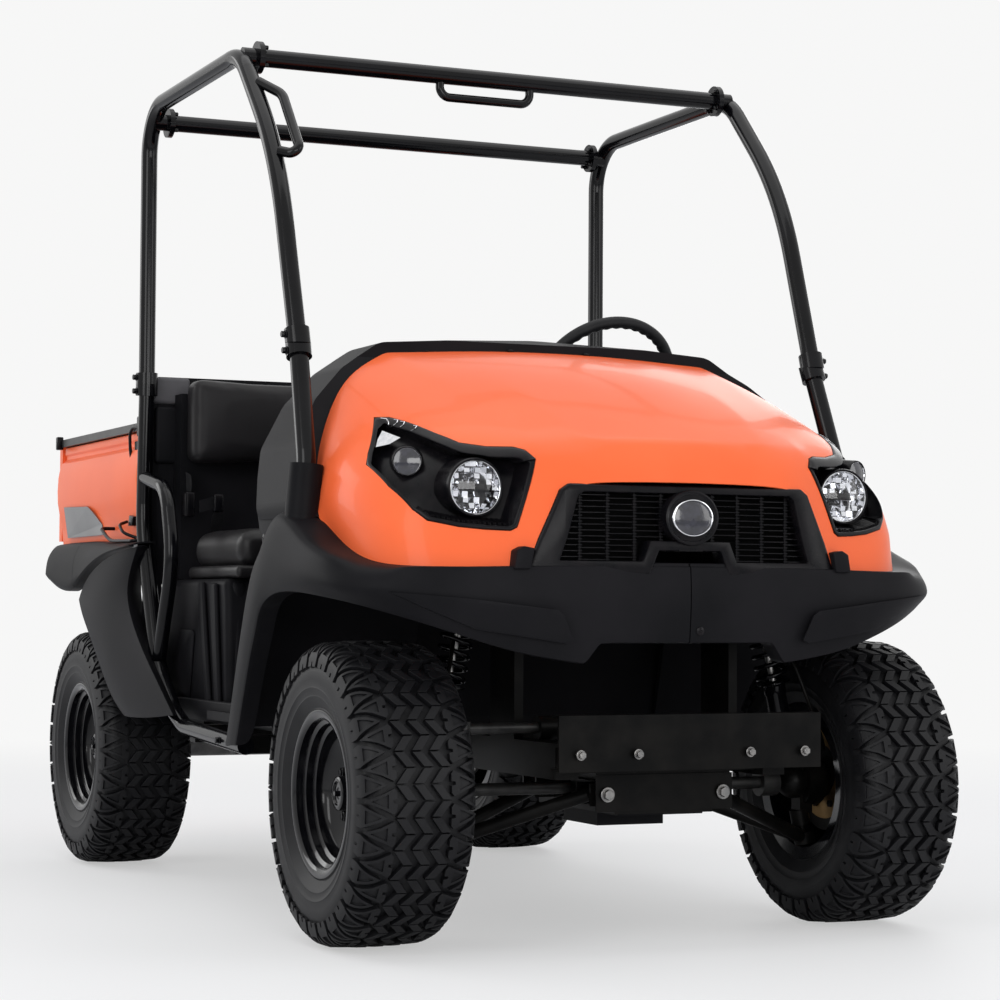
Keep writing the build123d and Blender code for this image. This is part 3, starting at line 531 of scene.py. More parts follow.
bezel = panel_from_rows("bezel", [
    bezel_row(0.7, 0.7, 9, 9), bezel_row(0.7, 0.7, -1.5, -3), bezel_row(2.2, 3, -3.6, -8),
    bezel_row(8, 20, -3.6, -9), bezel_row(9.5, 23, -2.4, -7), bezel_row(10.2, 24, 5, 3), bezel_row(14, 26, 62, 62),
])
outward(bezel)
finish_with(bezel, "SUBSURF", levels=1, render_levels=1)
finish_with(bezel, "SOLIDIFY", thickness=0.0012, offset=-1)

bowl_depth = 56
bowl_floor = own_copy(hood_skin)
bowl_floor.location.y = bowl_depth / 1000
cut_by(bowl_floor, prism("floor_edge",
                         [(x / 1000, -1.4, z / 1000) for x, z in drawn_in(lamp_path, [12] * len(lamp_path))[:-1]],
                         (0, 0.6, 0)), "INTERSECT")
stood(bowl_floor, (0, bowl_depth, 0))

# main lamp and small lamp: their collars stand on the bowl's floor
lamp_at, small_at, small_turn = (413, -1205, 900), (512, -1100, 953), (0, 0, -68)
collar = stood(turned("collar", [(-62, 60), (-8, 58), (4, 57.5), (6.5, 56.5), (7, 55), (4, 53.5), (-62, 53.5)], 64),
               lamp_at, (0, 0, -90))
flare = stood(turned("flare", [(-40, 57), (-46, 70), (-57, 100), (-60, 100), (-49, 70), (-44, 57)], 64), lamp_at,
              (0, 0, -90))
bowl_edge = [(x / 1000, -1.4, z / 1000) for x, z in drawn_in(lamp_path, [13 + 20 * share for share in brow])[:-1]]
cut_by(flare, prism("flare_edge", bowl_edge, (0, 0.6, 0)), "INTERSECT")
small_collar = stood(turned("small_collar", [(-60, 36), (-8, 31), (1, 30), (3, 29), (3.5, 28), (1, 27), (-60, 27)],
                            48), small_at, small_turn)

ribs = []
rib_start = min(range(len(lamp_path)), key=lambda k: math.dist(lamp_path[k], (522, 846)))
rib_end = min(range(len(lamp_path)), key=lambda k: math.dist(lamp_path[k], (366, 815)))
for k in range(rib_start, rib_end):
    for share in (0.2, 0.85):
        (x0, z0), (x1, z1) = lamp_path[k], lamp_path[k + 1]
        x, z = x0 + (x1 - x0) * share, z0 + (z1 - z0) * share
        along = Vector((x1 - x0, z1 - z0)).normalized()
        in_x, in_z = along.y, -along.x
        foot = [(11, 5), (14.5, 6), (26, 50), (13, 54)]
        corners = []
        for inset, back in foot:
            px, pz = x + in_x * inset, z + in_z * inset
            corners.append(Vector((px, skin_y(x + in_x * 11, z + in_z * 11) + back, pz)) / 1000)
        ribs.append(prism("rib", corners, (along.x * 0.0016, 0, along.y * 0.0016)))

# four thin plated strips across the brow's outer end: painted highlights, standing in for the lit edges of notches
# there, which are not cut
steps = []
for k in range(4):
    index = brow_ends[1] - 1 - round(1.7 * k)
    strip = []
    for inset, slide in [(2.5, 4), (5, -1.5), (12, -1), (19, 2.5)]:
        x, z = drawn_in(lamp_path, [inset] * len(lamp_path))[index]
        strip.append((x + slide, z))
    steps.append(panel_from_rows("step", [
        [Vector((x + wide, skin_y(x, z) - 9.4, z)) / 1000 for wide in (0, 1.3)] for x, z in strip]))
    finish_with(steps[-1], "SOLIDIFY", thickness=0.0016, offset=0)
housing_left = joined([bezel, bowl_floor, collar, flare, small_collar] + ribs, "headlamp_left_housing")
smooth(housing_left, 32)

# bright parts: the ring, the faceted reflector with its bulb shield, a plated patch painted as a reflection at the
# bowl's outer end, and the plated strips painted as highlights on the brow
trim = stood(turned("trim_ring", [(1, 53.4), (5, 53.4), (6, 52), (5, 50.5), (1, 50.5)], 64), lamp_at, (0, 0, -90))
reflector = stood(turned("reflector", [(-40, 9), (-33, 21), (-29, 30), (-22, 42), (-4, 51), (1, 52.5), (1, 53.4),
                                       (-9, 52.5), (-26, 43), (-42, 9)], 28), lamp_at, (0, 0, -90))
facets = []
facet_pitch, facet_size = 11.6, 10.8
for column in range(-4, 5):
    for row in range(-4, 5):
        x, z = column * facet_pitch, row * facet_pitch
        out = math.hypot(x, z)
        if out > 48 or (row == 0 and abs(column) < 4) or (abs(column) == 2 and abs(row) < 3):
            continue
        deselect()
        bpy.ops.mesh.primitive_cube_add(size=1, rotation=(0.5 * math.sin(5.1 * column + 2.3 * row), 0,
                                                          0.5 * math.sin(3.7 * row - 1.9 * column)))
        facet = bpy.context.object
        facet.scale = (facet_size / 1000, 0.003, facet_size / 1000)
        stood(facet, (lamp_at[0] + x, lamp_at[1] + 24 - 16 * (out / 48) ** 2, lamp_at[2] + z),
              [math.degrees(angle) for angle in facet.rotation_euler])
        facets.append(facet)
small_ring = stood(turned("small_ring", [(-1, 27), (1.6, 27), (2, 26.4), (1, 25.6), (-1, 25.6)], 48), small_at,
                   small_turn)
# a small plated patch at the bowl's outer top end: a painted reflection, standing in for the white glint on the
# lamp's clear cover, which is not modelled
side_reflector = prism("side_reflector", [Vector((x, skin_y(x, z) + 4, z)) / 1000 for x, z in
                                          [(519, 1020), (504, 1003), (524, 990), (546, 984)]], (0, 0.006, 0))
bright_left = joined([trim, reflector, small_ring, side_reflector] + facets + steps, "headlamp_left_bright")
smooth(bright_left, 12)
shield = prism("shield", [(-24, -7, 0), (24, -7, 0), (20, 8, 0), (-20, 8, 0)], (0, 0, 12))
for corner in shield.data.vertices:
    corner.co = (corner.co.x / 1000, -(corner.co.z + 6) / 1000, corner.co.y / 1000)
bulb = turned("bulb", [(-40, 10), (-22, 10), (-16, 8), (-12, 5), (-10, 0.05), (-40, 0.05)], 24)
stood(bulb, (0, 0, 0), (0, 0, -90))
shade_left = joined([shield, bulb], "headlamp_left_bulb")
outward(shade_left)
stood(shade_left, (lamp_at[0], lamp_at[1] + 22, lamp_at[2]))
bevelled(shade_left, 0.002, 2)
smooth(shade_left, 35)

# the clear lens is the cap of a sphere, above a flat cut
lens_radius, lens_cut = 110, 96.7
deselect()
bpy.ops.mesh.primitive_uv_sphere_add(segments=64, ring_count=48, radius=lens_radius / 1000)
lens = bpy.context.object
enter_edit()
bpy.ops.mesh.select_all(action="SELECT")
bpy.ops.mesh.bisect(plane_co=(0, 0, lens_cut / 1000), plane_no=(0, 0, 1), clear_inner=True)
leave_edit()
stood(lens, (0, 0, -lens_cut))
stood(lens, (lamp_at[0], lamp_at[1] - 5, lamp_at[2]), (90, 0, 0))
small_radius = 25.6
small_dome = [(1 + 5 * (1 - (r / small_radius) ** 2), r) for r in (small_radius, 20, 14, 8, 0.05)]
small_lens = turned("small_lens", small_dome + [(-12, 0.05), (-12, small_radius)], 48)
stood(small_lens, small_at, small_turn)
lens.name, small_lens.name = "headlamp_left_lens", "headlamp_left_smoked"
for piece in (lens, small_lens):
    smooth(piece, 40)

satin = mottled("satin_black_moulding", (0.003, 0.003, 0.004), (0.007, 0.006, 0.007), scale=38.0, strength=0.05,
                Roughness=0.27, Specular_IOR_Level=0.12)
# bright plating: real on the rings and the reflector's facets, and also giving the painted highlight strips and the
# painted reflection patch their brightness
plating_and_glints = mottled("bright_plating", (0.72, 0.73, 0.76), (0.86, 0.86, 0.88), scale=60.0, strength=0.02,
                 Metallic=1.0, Roughness=0.09)
clear, glass = new_material("clear_polycarbonate")
place = node_of(clear, "ShaderNodeTexCoord").outputs["Object"]
drawn = node_of(clear, "ShaderNodeTexNoise", Vector=place, Scale=55.0)
wave = node_of(clear, "ShaderNodeBump", Height=drawn.outputs["Fac"], Strength=0.05, Distance=0.002)
set_sockets(glass, Normal=wave.outputs["Normal"], Base_Color=(0.97, 0.98, 1.0, 1), Transmission_Weight=1.0,
            Roughness=0.02, IOR=1.03, Coat_Weight=1.0, Coat_Roughness=0.02)
smoked = mottled("smoked_lens", (0.006, 0.006, 0.010), (0.022, 0.022, 0.034), scale=90.0, grain=220.0, strength=0.2,
                 depth=0.001, Roughness=0.14, Coat_Weight=0.8, Coat_Roughness=0.03)

for piece, mat, slot, stands_for in [
    (housing_left, satin, "black_plastic", "headlamp_{}"), (bright_left, plating_and_glints, "bare_steel", "headlamp_{}"),
    (shade_left, satin, "black_plastic", "headlamp_{}"), (lens, clear, "clear_lens", "headlamp_lenses"),
    (small_lens, smoked, "clear_lens", "headlamp_lenses"),
]:
    paint_with(piece, mat)
    twin = other_hand(piece, piece.name.replace("left", "right"))
    for made, side in ((piece, "left"), (twin, "right")):
        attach(made, "chassis")
        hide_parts(stands_for.format(side))
bpy.data.objects.remove(hood_skin)

# ---------------------------------------------------------------- grille
# A satin black moulded frame let into the nose, notched at its foot, with a recessed net of thin
# staggered slats and posts, blocks at its ends, and a round boss with a plain oval bright-rimmed face.
grille_face, boss_z = -1318, 845
grille_outer = [(-257, 908), (257, 908), (274, 896), (318, 800), (344, 733), (86, 733), (68, 780), (-68, 780),
                (-86, 733), (-344, 733), (-318, 800), (-274, 896)]
grille_inner = [(-226, 892), (226, 892), (238, 884), (258, 806), (274, 760), (104, 760), (88, 800), (-88, 800),
                (-104, 760), (-274, 760), (-258, 806), (-238, 884)]


def nose_y(x):
    """The nose bows back towards the grille's ends."""
    return grille_face + 24 * (abs(x) / 344) ** 2.2


# how far each loop is from the outer outline to the inner one, and how far behind the nose
frame_rows = []
for share, back in [(0, 40), (0, 4), (0.16, 0), (0.94, 0), (1, 6), (1, 46)]:
    row = []
    for (x, z), (inner_x, inner_z) in zip(grille_outer, grille_inner):
        at_x, at_z = x + (inner_x - x) * share, z + (inner_z - z) * share
        row.append(Vector((at_x, nose_y(at_x) + back, at_z)) / 1000)
    frame_rows.append(row + row[:1])
surround_frame = panel_from_rows("grille_frame", frame_rows)
outward(surround_frame)
bevelled(surround_frame, 0.003, 3, 30)

net = []
slat_pitch, slats, post_pitch = 11.4, 12, 57
for column in range(-5, 5):
    lift = 2.6 if column % 2 else -2.6
    for k in range(slats):
        z = 764 + k * slat_pitch + lift
        half = 276 - (z - 760) * 0.30
        x0, x1 = max(-half, column * post_pitch + 3), min(half, (column + 1) * post_pitch - 3)
        if x1 - x0 < 8 or z > 890 or (z < 801 and abs(x0 + x1) / 2 < 92):
            continue
        near, far = nose_y(x0) + 19, nose_y(x0) + 25
        corners = [(x0, near, z), (x0, near, z + 1.5), (x0, far, z + 2.6), (x0, far, z - 0.9)]
        net.append(prism("slat", in_metres(corners), ((x1 - x0) / 1000, (nose_y(x1) - nose_y(x0)) / 1000, 0)))
for column in range(-4, 5):
    x = column * post_pitch
    top, foot = 893, (801 if abs(x) < 92 else 758)
    corners = [(x - 2.6, nose_y(x) + 23, foot), (x + 2.6, nose_y(x) + 23, foot), (x + 1.4, nose_y(x) + 20.5, foot),
               (x - 1.4, nose_y(x) + 20.5, foot)]
    net.append(prism("post", in_metres(corners), (0, 0, (top - foot) / 1000)))
    for k in range(slats):
        for lift in (-2.6, 2.6):
            z = 765 + k * slat_pitch + lift
            if foot < z < 892 and abs(x) < 270 - (z - 760) * 0.30:
                near = nose_y(x) + 18
                corners = [(x - 5, near, z), (x - 2.5, near, z + 1.7), (x + 2.5, near, z + 1.7), (x + 5, near, z),
                           (x + 2.5, near, z - 1.7), (x - 2.5, near, z - 1.7)]
                net.append(prism("bead", in_metres(corners), (0, 0.005, 0)))
# a near-black sheet behind the net: painted shade, standing in for the darkness deep in the grille's recess
baffle = prism("baffle", [(x / 1000, (nose_y(x) + 46) / 1000, z / 1000) for x, z in grille_inner], (0, 0.004, 0))
shade_black = mottled("unlit_black", (0.0015, 0.0015, 0.0015), (0.003, 0.003, 0.003), Roughness=0.9,
                      Specular_IOR_Level=0.05)
paint_with(baffle, shade_black)
baffle.name = "grille_baffle"

boss = turned("boss", [(-44, 59), (2, 59), (5, 58), (6, 55), (4, 51), (2, 49), (2, 0.05), (-44, 0.05)], 72)
for corner in boss.data.vertices:
    corner.co.z *= 0.92
stood(boss, (0, grille_face, boss_z), (0, 0, -90))
boss_stem = prism("boss_stem", [(-0.030, -1.3165, 0.800), (0.030, -1.3165, 0.800), (0.026, -1.3165, 0.780),
                                (-0.026, -1.3165, 0.780)], (0, 0.024, 0))
grille_model = joined([surround_frame, boss, boss_stem] + net, "grille_dressed")
smooth(grille_model, 32)
paint_with(grille_model, satin)
oval = turned("oval_ring", [(0, 46), (4, 45.6), (6.5, 43.5), (6.8, 41.8), (4, 40.2), (0, 39.8)], 96)
oval_face = turned("oval_face", [(3.0, 40.0), (5, 30), (6.2, 14), (6.6, 0.05), (0, 0.05), (0, 40.0)], 72)
for piece in (oval, oval_face):
    for corner in piece.data.vertices:
        corner.co.z *= 0.82
    stood(piece, (0, grille_face - 2.5, boss_z), (0, 0, -90))
smooth(oval, 40)
smooth(oval_face, 40)
oval.name, oval_face.name = "boss_ring", "boss_plain_face"
paint_with(oval, plating_and_glints)
paint_with(oval_face, smoked)
for piece, slot in ((grille_model, "black_plastic"), (baffle, "black_plastic"), (oval, "bare_steel"),
                    (oval_face, "black_plastic")):
    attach(piece, "chassis")
    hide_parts("grille")

# ---------------------------------------------------------------- tyres
# Four knobbly tubeless tyres of black rubber on the rims' bead seats. Thirty times round, the tread
# repeats three chevron ribs between two rows of interlocked triangles, whose outer row wraps the shoulder.
tyre_radius = 301.0
pitches = 30
pitch = 2 * math.pi * tyre_radius / pitches
base_radius, crown_half, shoulder_round = 289.0, 80.0, 26.0
shoulder_end = math.radians(80)


def on_tread(across, around, height):
    """A place on the tyre: across the tread and round it in millimetres, and up from its base."""
    side = math.copysign(1, across)
    reach = abs(across)
    if reach <= crown_half:
        x, radius = reach, base_radius - 2.0 * (reach / crown_half) ** 2
        lean = 0.05 * reach / crown_half
    else:
        lean = min((reach - crown_half) / shoulder_round, shoulder_end)
        x = crown_half + shoulder_round * math.sin(lean)
        radius = base_radius - 2.0 - shoulder_round * (1 - math.cos(lean))
        beyond = reach - crown_half - shoulder_round * shoulder_end
        if beyond > 0:
            x += beyond * math.cos(shoulder_end)
            radius -= beyond * math.sin(shoulder_end)
    x += height * math.sin(lean)
    radius += height * math.cos(lean)
    angle = around / tyre_radius
    return Vector((side * x, radius * math.sin(angle), radius * math.cos(angle))) / 1000


def lug(outline, height):
    """A rubber block on its flat outline, in millimetres."""
    return prism("lug", [(x, y, 0) for x, y in outline], (0, 0, height))


lugs = []
for rib in (-35.4, 0, 35.4):
    for start, lean in [(0, 1), (pitch / 2, -1)]:
        low, high = start + 1.6, start + pitch / 2 - 1.6
        foot, top = rib - lean * 10.6, rib + lean * 10.6
        lugs.append(lug([(foot - 9.6, low), (foot + 9.6, low), (top + 9.6, high), (top - 9.6, high)], 12.0))
for side in (-1, 1):
    middle = 0 if side < 0 else pitch / 2
    outer = [(side * 73, middle), (side * 116, middle + 25), (side * 134, middle + 23), (side * 134, middle + 4),
             (side * 124, middle + 3), (side * 124, middle - 3), (side * 134, middle - 4),
             (side * 134, middle - 23), (side * 116, middle - 25)]
    middle += pitch / 2
    inner = [(side * 111, middle), (side * 60, middle - 25), (side * 55, middle - 18), (side * 55, middle - 4),
             (side * 63, middle - 3), (side * 63, middle + 3), (side * 55, middle + 4), (side * 55, middle + 18),
             (side * 60, middle + 25)]
    field = [(side * 84, middle - pitch / 2), (side * 108, middle - pitch / 2 + 14),
             (side * 108, middle - pitch / 2 - 14)]
    lugs.append(lug(outer, 10.5))
    pit = prism("pit", [(x, y, 6.0) for x, y in field], (0, 0, 9))
    cut_by(lugs[-1], pit)
    lugs.append(lug(inner, 11.0))
    pit = prism("pit", [(side * 98, middle, 6.5), (side * 72, middle + 13, 6.5), (side * 72, middle - 13, 6.5)],
                (0, 0, 9))
    cut_by(lugs[-1], pit)
    # a low curved key on the sidewall under each outer lug
    lugs.append(lug([(side * 136, middle - pitch / 2 + 21), (side * 156, middle - pitch / 2 + 16),
                     (side * 156, middle - pitch / 2 + 2), (side * 136, middle - pitch / 2 + 6)], 4.5))
    lugs.append(lug([(side * 136, middle - pitch / 2 - 21), (side * 152, middle - pitch / 2 - 18),
                     (side * 152, middle - pitch / 2 - 8), (side * 136, middle - pitch / 2 - 6)], 4.5))
one_pitch = joined(lugs, "tread")
enter_edit()
for cut in (84, 92, 100, 108, 116, 124, 132, 144):
    for side in (-1, 1):
        bpy.ops.mesh.select_all(action="SELECT")
        bpy.ops.mesh.bisect(plane_co=(side * cut, 0, 0), plane_no=(1, 0, 0))
leave_edit()
for corner in one_pitch.data.vertices:
    corner.co = on_tread(*corner.co)
bevelled(one_pitch, 0.0007, 1, 50)
select_only(one_pitch)
enter_edit()
bpy.ops.mesh.select_all(action="SELECT")
bpy.ops.mesh.spin(steps=pitches - 1, dupli=True, angle=2 * math.pi * (pitches - 1) / pitches, center=(0, 0, 0),
                  axis=(1, 0, 0))
leave_edit()

half_profile = [
    (106, 262), (108, 256), (113, 250), (116, 240), (117, 225), (115.5, 212), (116.5, 209), (115, 205), (112, 196),
    (112.8, 192), (110, 186), (104, 175), (101, 169), (103, 166), (95, 163), (92, 152),
]
crown = [on_tread(reach, 0, 0) for reach in (-116, -104, -92, -80, -40, 0, 40, 80, 92, 104, 116)]
profile = ([(-x, r) for x, r in reversed(half_profile)] + [(p.x * 1000, p.z * 1000) for p in crown] + half_profile)
casing = turned("casing", profile)
tyre = joined([casing, one_pitch], "tyre_model")
smooth(tyre, 30)

rubber = mottled("tyre_rubber", (0.004, 0.004, 0.005), (0.009, 0.009, 0.010), scale=14.0, grain=650.0,
                 strength=0.18, depth=0.0006, Roughness=0.5, Specular_IOR_Level=0.2)
paint_with(tyre, rubber)

# ---------------------------------------------------------------- rims
# Pressed steel wheels in gloss black: a deep barrel in steps, a dished disc with eight windows, four
# wheel nuts and a blank hub cap on a pillar.
rim_profile = [
    (-100, 140), (-103, 165), (-96, 165), (-93, 151), (93, 151), (96, 165), (103, 165), (104, 160), (101, 150),
    (98, 147), (84, 146), (82, 142), (80, 138), (66, 137), (64, 133), (62, 129), (44, 128), (36, 122), (30, 112),
    (22, 104), (16, 92), (22, 74), (22, 58), (18, 52), (18, 36), (10, 36), (10, 52), (14, 62), (14, 74), (8, 92),
    (14, 108), (22, 118), (30, 127), (28, 136), (-60, 136), (-92, 138),
]
barrel = turned("barrel", rim_profile, steps=96)
for number in range(8):
    angle = math.radians(45 * number + 22.5)
    deselect()
    bpy.ops.mesh.primitive_circle_add(vertices=16, radius=1, fill_type="NGON")
    window = bpy.context.object
    for corner in window.data.vertices:
        radial, across = 88 + 13 * corner.co.x, 17 * corner.co.y
        corner.co = (-0.02, (radial * math.sin(angle) + across * math.cos(angle)) / 1000,
                     (radial * math.cos(angle) - across * math.sin(angle)) / 1000)
    enter_edit()
    bpy.ops.mesh.select_all(action="SELECT")
    bpy.ops.mesh.extrude_region_move(TRANSFORM_OT_translate={"value": (0.08, 0, 0)})
    leave_edit()
    outward(window)
    cut_by(barrel, window)
cap = turned("hub_cap", [(12, 15.5), (12, 44), (20, 44), (26, 36), (58, 34), (64, 33), (66, 30), (66, 24), (62, 22),
                         (62, 12), (60, 10), (60, 6), (71, 5), (71, 0.05), (57, 0.05), (57, 15.5)], steps=48)


def stud(sides, radius, depth, place):
    """A short cylinder, or a hexagon, along the X axis, in metres."""
    deselect()
    bpy.ops.mesh.primitive_cylinder_add(vertices=sides, radius=radius, depth=depth, rotation=(0, math.pi / 2, 0),
                                        location=place)
    made = bpy.context.object
    bpy.ops.object.transform_apply(location=True, rotation=True, scale=True)
    return made


nuts = []
for number in range(4):
    angle = math.radians(90 * number + 45)
    nut = stud(6, 0.0105, 0.016, (0.030, 0.062 * math.sin(angle), 0.062 * math.cos(angle)))
    enter_edit()
    mesh = bmesh.from_edit_mesh(nut.data)
    for face in mesh.faces:
        face.select = face.normal.x > 0.9
    mesh.select_flush(True)
    bmesh.update_edit_mesh(nut.data)
    bpy.ops.mesh.inset(thickness=0.003)
    bpy.ops.mesh.extrude_region_move(TRANSFORM_OT_translate={"value": (0.004, 0, 0)})
    leave_edit()
    bevelled(nut, 0.0008, 2)
    nuts.append(nut)
rim = joined([barrel, cap] + nuts, "rim_model")
bevelled(rim, 0.0008, 1, 55)
smooth(rim, 40)

gloss = mottled("gloss_black_enamel", (0.002, 0.002, 0.003), (0.005, 0.005, 0.006), scale=24.0, grain=210.0,
                strength=0.03, depth=0.001, Roughness=0.13, Specular_IOR_Level=0.22, Coat_Weight=0.2,
                Coat_Roughness=0.05)
paint_with(rim, gloss)

# wheel, x, y: each is a copy of the model with its own mesh, turned round for the right side
for wheel, x, y in [("front_wheel_left", 545, -985), ("front_wheel_right", -545, -985),
                    ("rear_wheel_left", 553, 815), ("rear_wheel_right", -553, 815)]:
    end, side = wheel.split("_wheel_")
    for model, part in ((tyre, "tyre"), (rim, "rim")):
        copy = own_copy(model)
        copy.name = end + "_" + part + "_" + side + "_dressed"
        copy.location = (x / 1000, y / 1000, tyre_radius / 1000)
        copy.rotation_euler = (math.radians(7), 0, math.pi if x < 0 else 0)
        select_only(copy)
        bpy.ops.object.transform_apply(location=True, rotation=True, scale=True)
        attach(copy, wheel)
        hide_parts(end + "_" + part + "_" + side)
for model in (tyre, rim):
    bpy.data.objects.remove(model)

# ---------------------------------------------------------------- frame, running gear and cage finishes
# Welded tube and plate in black enamel: glossy on the cage, flatter and dusty underneath, with oiled
# shafts, cast cases and a bare steel muffler. These solids keep their shape and take their surface here.


def dress(mat, *names):
    """Gives CAD nodes a material of their own."""
    for name in names:
        for slot in bpy.data.objects[name].material_slots:
            slot.link = "OBJECT"
            slot.material = mat


chassis_black = mottled("chassis_black", (0.002, 0.002, 0.002), (0.006, 0.0055, 0.005), scale=18.0, grain=300.0,
                        strength=0.15, Roughness=0.34, Specular_IOR_Level=0.08)
cage_black = mottled("cage_black_enamel", (0.0015, 0.0015, 0.002), (0.003, 0.003, 0.004), scale=12.0, grain=240.0,
                     strength=0.03, depth=0.001, Roughness=0.14, Specular_IOR_Level=0.22)
casting = mottled("cast_alloy", (0.16, 0.16, 0.16), (0.26, 0.255, 0.25), scale=30.0, grain=420.0, strength=0.3,
                  Metallic=0.8, Roughness=0.5)
shaft_steel = mottled("bare_steel", (0.34, 0.33, 0.32), (0.5, 0.49, 0.47), scale=26.0, grain=500.0, strength=0.1,
                      Metallic=1.0, Roughness=0.34)
oiled_steel = mottled("oiled_steel", (0.012, 0.012, 0.012), (0.035, 0.034, 0.033), scale=24.0, grain=420.0,
                      strength=0.2, Metallic=0.5, Roughness=0.38)
dress(cage_black, "roll_hoop_left", "roll_hoop_right", "lower_posts", "front_cross_bar", "rear_cross_bar")
dress(chassis_black, "frame_rails", "frame_cross_members", "strut_towers", "front_subframe", "front_beam",
      "lower_arms", "leaf_springs", "knuckle_left", "knuckle_right", "steering_rack_housing", "rear_bumper")
dress(casting, "rear_axle", "engine_block")
dress(shaft_steel, "muffler")
dress(oiled_steel, "front_driveline", "tie_rods")
dress(moulding, "pillar_boots", "dashboard", "dash_sides", "floor_and_firewall", "rear_panel", "skid_plate",
      "steering_column")

# ---------------------------------------------------------------- seats
# Two moulded vinyl cushions and two back pads over foam, soft at every edge. Each cushion sits on a
# flat-sided plinth of the same vinyl.
vinyl = mottled("black_vinyl", (0.006, 0.0055, 0.006), (0.010, 0.009, 0.010), grain=520.0, strength=0.25,
                depth=0.0006, Roughness=0.40, Specular_IOR_Level=0.2)


def soft_pad(name, low, high, rounding):
    """A firm foam pad, swollen a little out of a rounded block that lies inside its box."""
    # firm foam gives way to only a part of the swelling, and never far
    pressure, furthest, share = 4.0, 0.022, 0.3
    deselect()
    bpy.ops.mesh.primitive_cube_add(size=1, location=(low + high) / 2)
    pad = bpy.context.object
    pad.name = name
    pad.scale = high - low
    bpy.ops.object.transform_apply(location=True, rotation=True, scale=True)
    bevelled(pad, rounding, 6, 50)
    finish_with(pad, "REMESH", mode="VOXEL", voxel_size=0.009)
    start = [corner.co.copy() for corner in pad.data.vertices]
    cloth = pad.modifiers.new("foam", "CLOTH")
    cloth.settings.use_pressure = True
    cloth.settings.uniform_pressure_force = pressure
    cloth.settings.effector_weights.gravity = 0
    for step in range(1, 21):
        bpy.context.scene.frame_set(step)
    bpy.ops.object.modifier_apply(modifier=cloth.name)
    bpy.context.scene.frame_set(1)
    for corner, first in zip(pad.data.vertices, start):
        moved = corner.co - first
        if moved.length > furthest:
            moved = moved.normalized() * furthest
        corner.co = first + moved * share
    finish_with(pad, "SUBSURF", levels=1, render_levels=1)
    smooth(pad, 60)
    return pad


for side, hand in (("left", 1), ("right", -1)):
    low, high = (Vector(corner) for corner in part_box("seat_cushion_" + side))
    plinth = block("plinth", (low.x, low.y + 0.004, low.z), (high.x, high.y, low.z + 0.030))
    bevelled(plinth, 0.012, 4, 50)
    smooth(plinth, 40)
    pad = soft_pad("pad", Vector((low.x + 0.004, low.y + 0.002, low.z + 0.026)),
                   Vector((high.x - 0.002, high.y - 0.006, high.z - 0.002)), 0.034)
    cushion = joined([pad, plinth], "seat_cushion_" + side + "_pad")
    low, high = (Vector(corner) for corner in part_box("seat_back_" + side))
    back = soft_pad("seat_back_" + side + "_pad", low + Vector((0.004, 0.004, 0.006)),
                    high + Vector((-0.002, -0.004, 0.006)), 0.026)
    for piece, node in ((cushion, "seat_cushion_" + side), (back, "seat_back_" + side)):
        paint_with(piece, vinyl)
        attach(piece, "chassis")
        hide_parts(node)

# ---------------------------------------------------------------- seat base
# One black moulded cover over the engine bay, its front swept by upright ribs, with a screwed access
# panel in each end and a ledge that the cushions sit on.
base_low, base_high = (Vector(corner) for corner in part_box("seat_base"))
base_x, front_y, back_y, foot_z, top_z = base_high.x, base_low.y, base_high.y, base_low.z, base_high.z
# the cover's end outline, pushed across its width
shell = prism("seat_base_cover", [(-base_x + 0.001, front_y + 0.01, foot_z), (-base_x + 0.001, back_y, foot_z),
                                  (-base_x + 0.001, back_y, top_z - 0.001),
                                  (-base_x + 0.001, front_y + 0.035, top_z - 0.001),
                                  (-base_x + 0.001, front_y + 0.020, top_z - 0.05)], (2 * base_x - 0.002, 0, 0))
bevelled(shell, 0.016, 4, 25)
covers = [shell]
# middle and half width of each upright fold across the front
for x, half in ((-0.525, 0.024), (-0.455, 0.034), (-0.36, 0.042), (-0.205, 0.050), (-0.07, 0.042), (0.07, 0.042),
                (0.205, 0.050), (0.36, 0.042), (0.455, 0.034), (0.525, 0.024)):
    fold = prism("cover_fold", [(x - half, front_y + 0.045, foot_z), (x + half, front_y + 0.045, foot_z),
                                (x + half * 0.7, front_y + 0.001, foot_z),
                                (x - half * 0.7, front_y + 0.001, foot_z)], (0, 0, top_z - foot_z - 0.006))
    for corner in fold.data.vertices:
        if corner.co.z > foot_z + 0.1:
            corner.co.y += 0.024
            corner.co.x += (corner.co.x - x) * 0.18
    bevelled(fold, 0.016, 5, 30)
    covers.append(fold)
for hand in (-1, 1):
    x = hand * (base_x - 0.001)
    door = prism("access_panel",
                 [(x, 0.238, 0.612), (x, 0.137, 0.612), (x, 0.126, 0.602), (x, 0.160, 0.440), (x, 0.345, 0.505)],
                 (hand * 0.006, 0, 0))
    bevelled(door, 0.003, 2, 30)
    flank_ribs = [
        prism("flank_rib", [(x, 0.075, 0.726), (x, 0.045, 0.726), (x, -0.020, 0.436), (x, 0.012, 0.436)],
              (hand * 0.012, 0, 0)),
        prism("flank_rib", [(x, -0.010, 0.722), (x, -0.055, 0.722), (x, -0.095, 0.436), (x, -0.060, 0.436)],
              (hand * 0.012, 0, 0)),
    ]
    for rib in flank_ribs:
        bevelled(rib, 0.006, 3)
    covers += [door, *flank_ribs, stud(24, 0.007, 0.006, (x + hand * 0.007, 0.33, 0.510))]
base_cover = joined(covers, "seat_base_cover")
smooth(base_cover, 35)
paint_with(base_cover, moulding)
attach(base_cover, "chassis")
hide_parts("seat_base")

# a skirt under the cover's ends, down to the sill tubes
skirts = []
for hand in (-1, 1):
    skirt = block("skirt", (hand * 0.560, -0.545, 0.400), (hand * 0.580, 0.330, 0.450))
    bevelled(skirt, 0.004, 3)
    skirts.append(skirt)
skirts = joined(skirts, "floor_skirts")
smooth(skirts, 35)
paint_with(skirts, moulding)
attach(skirts, "chassis")

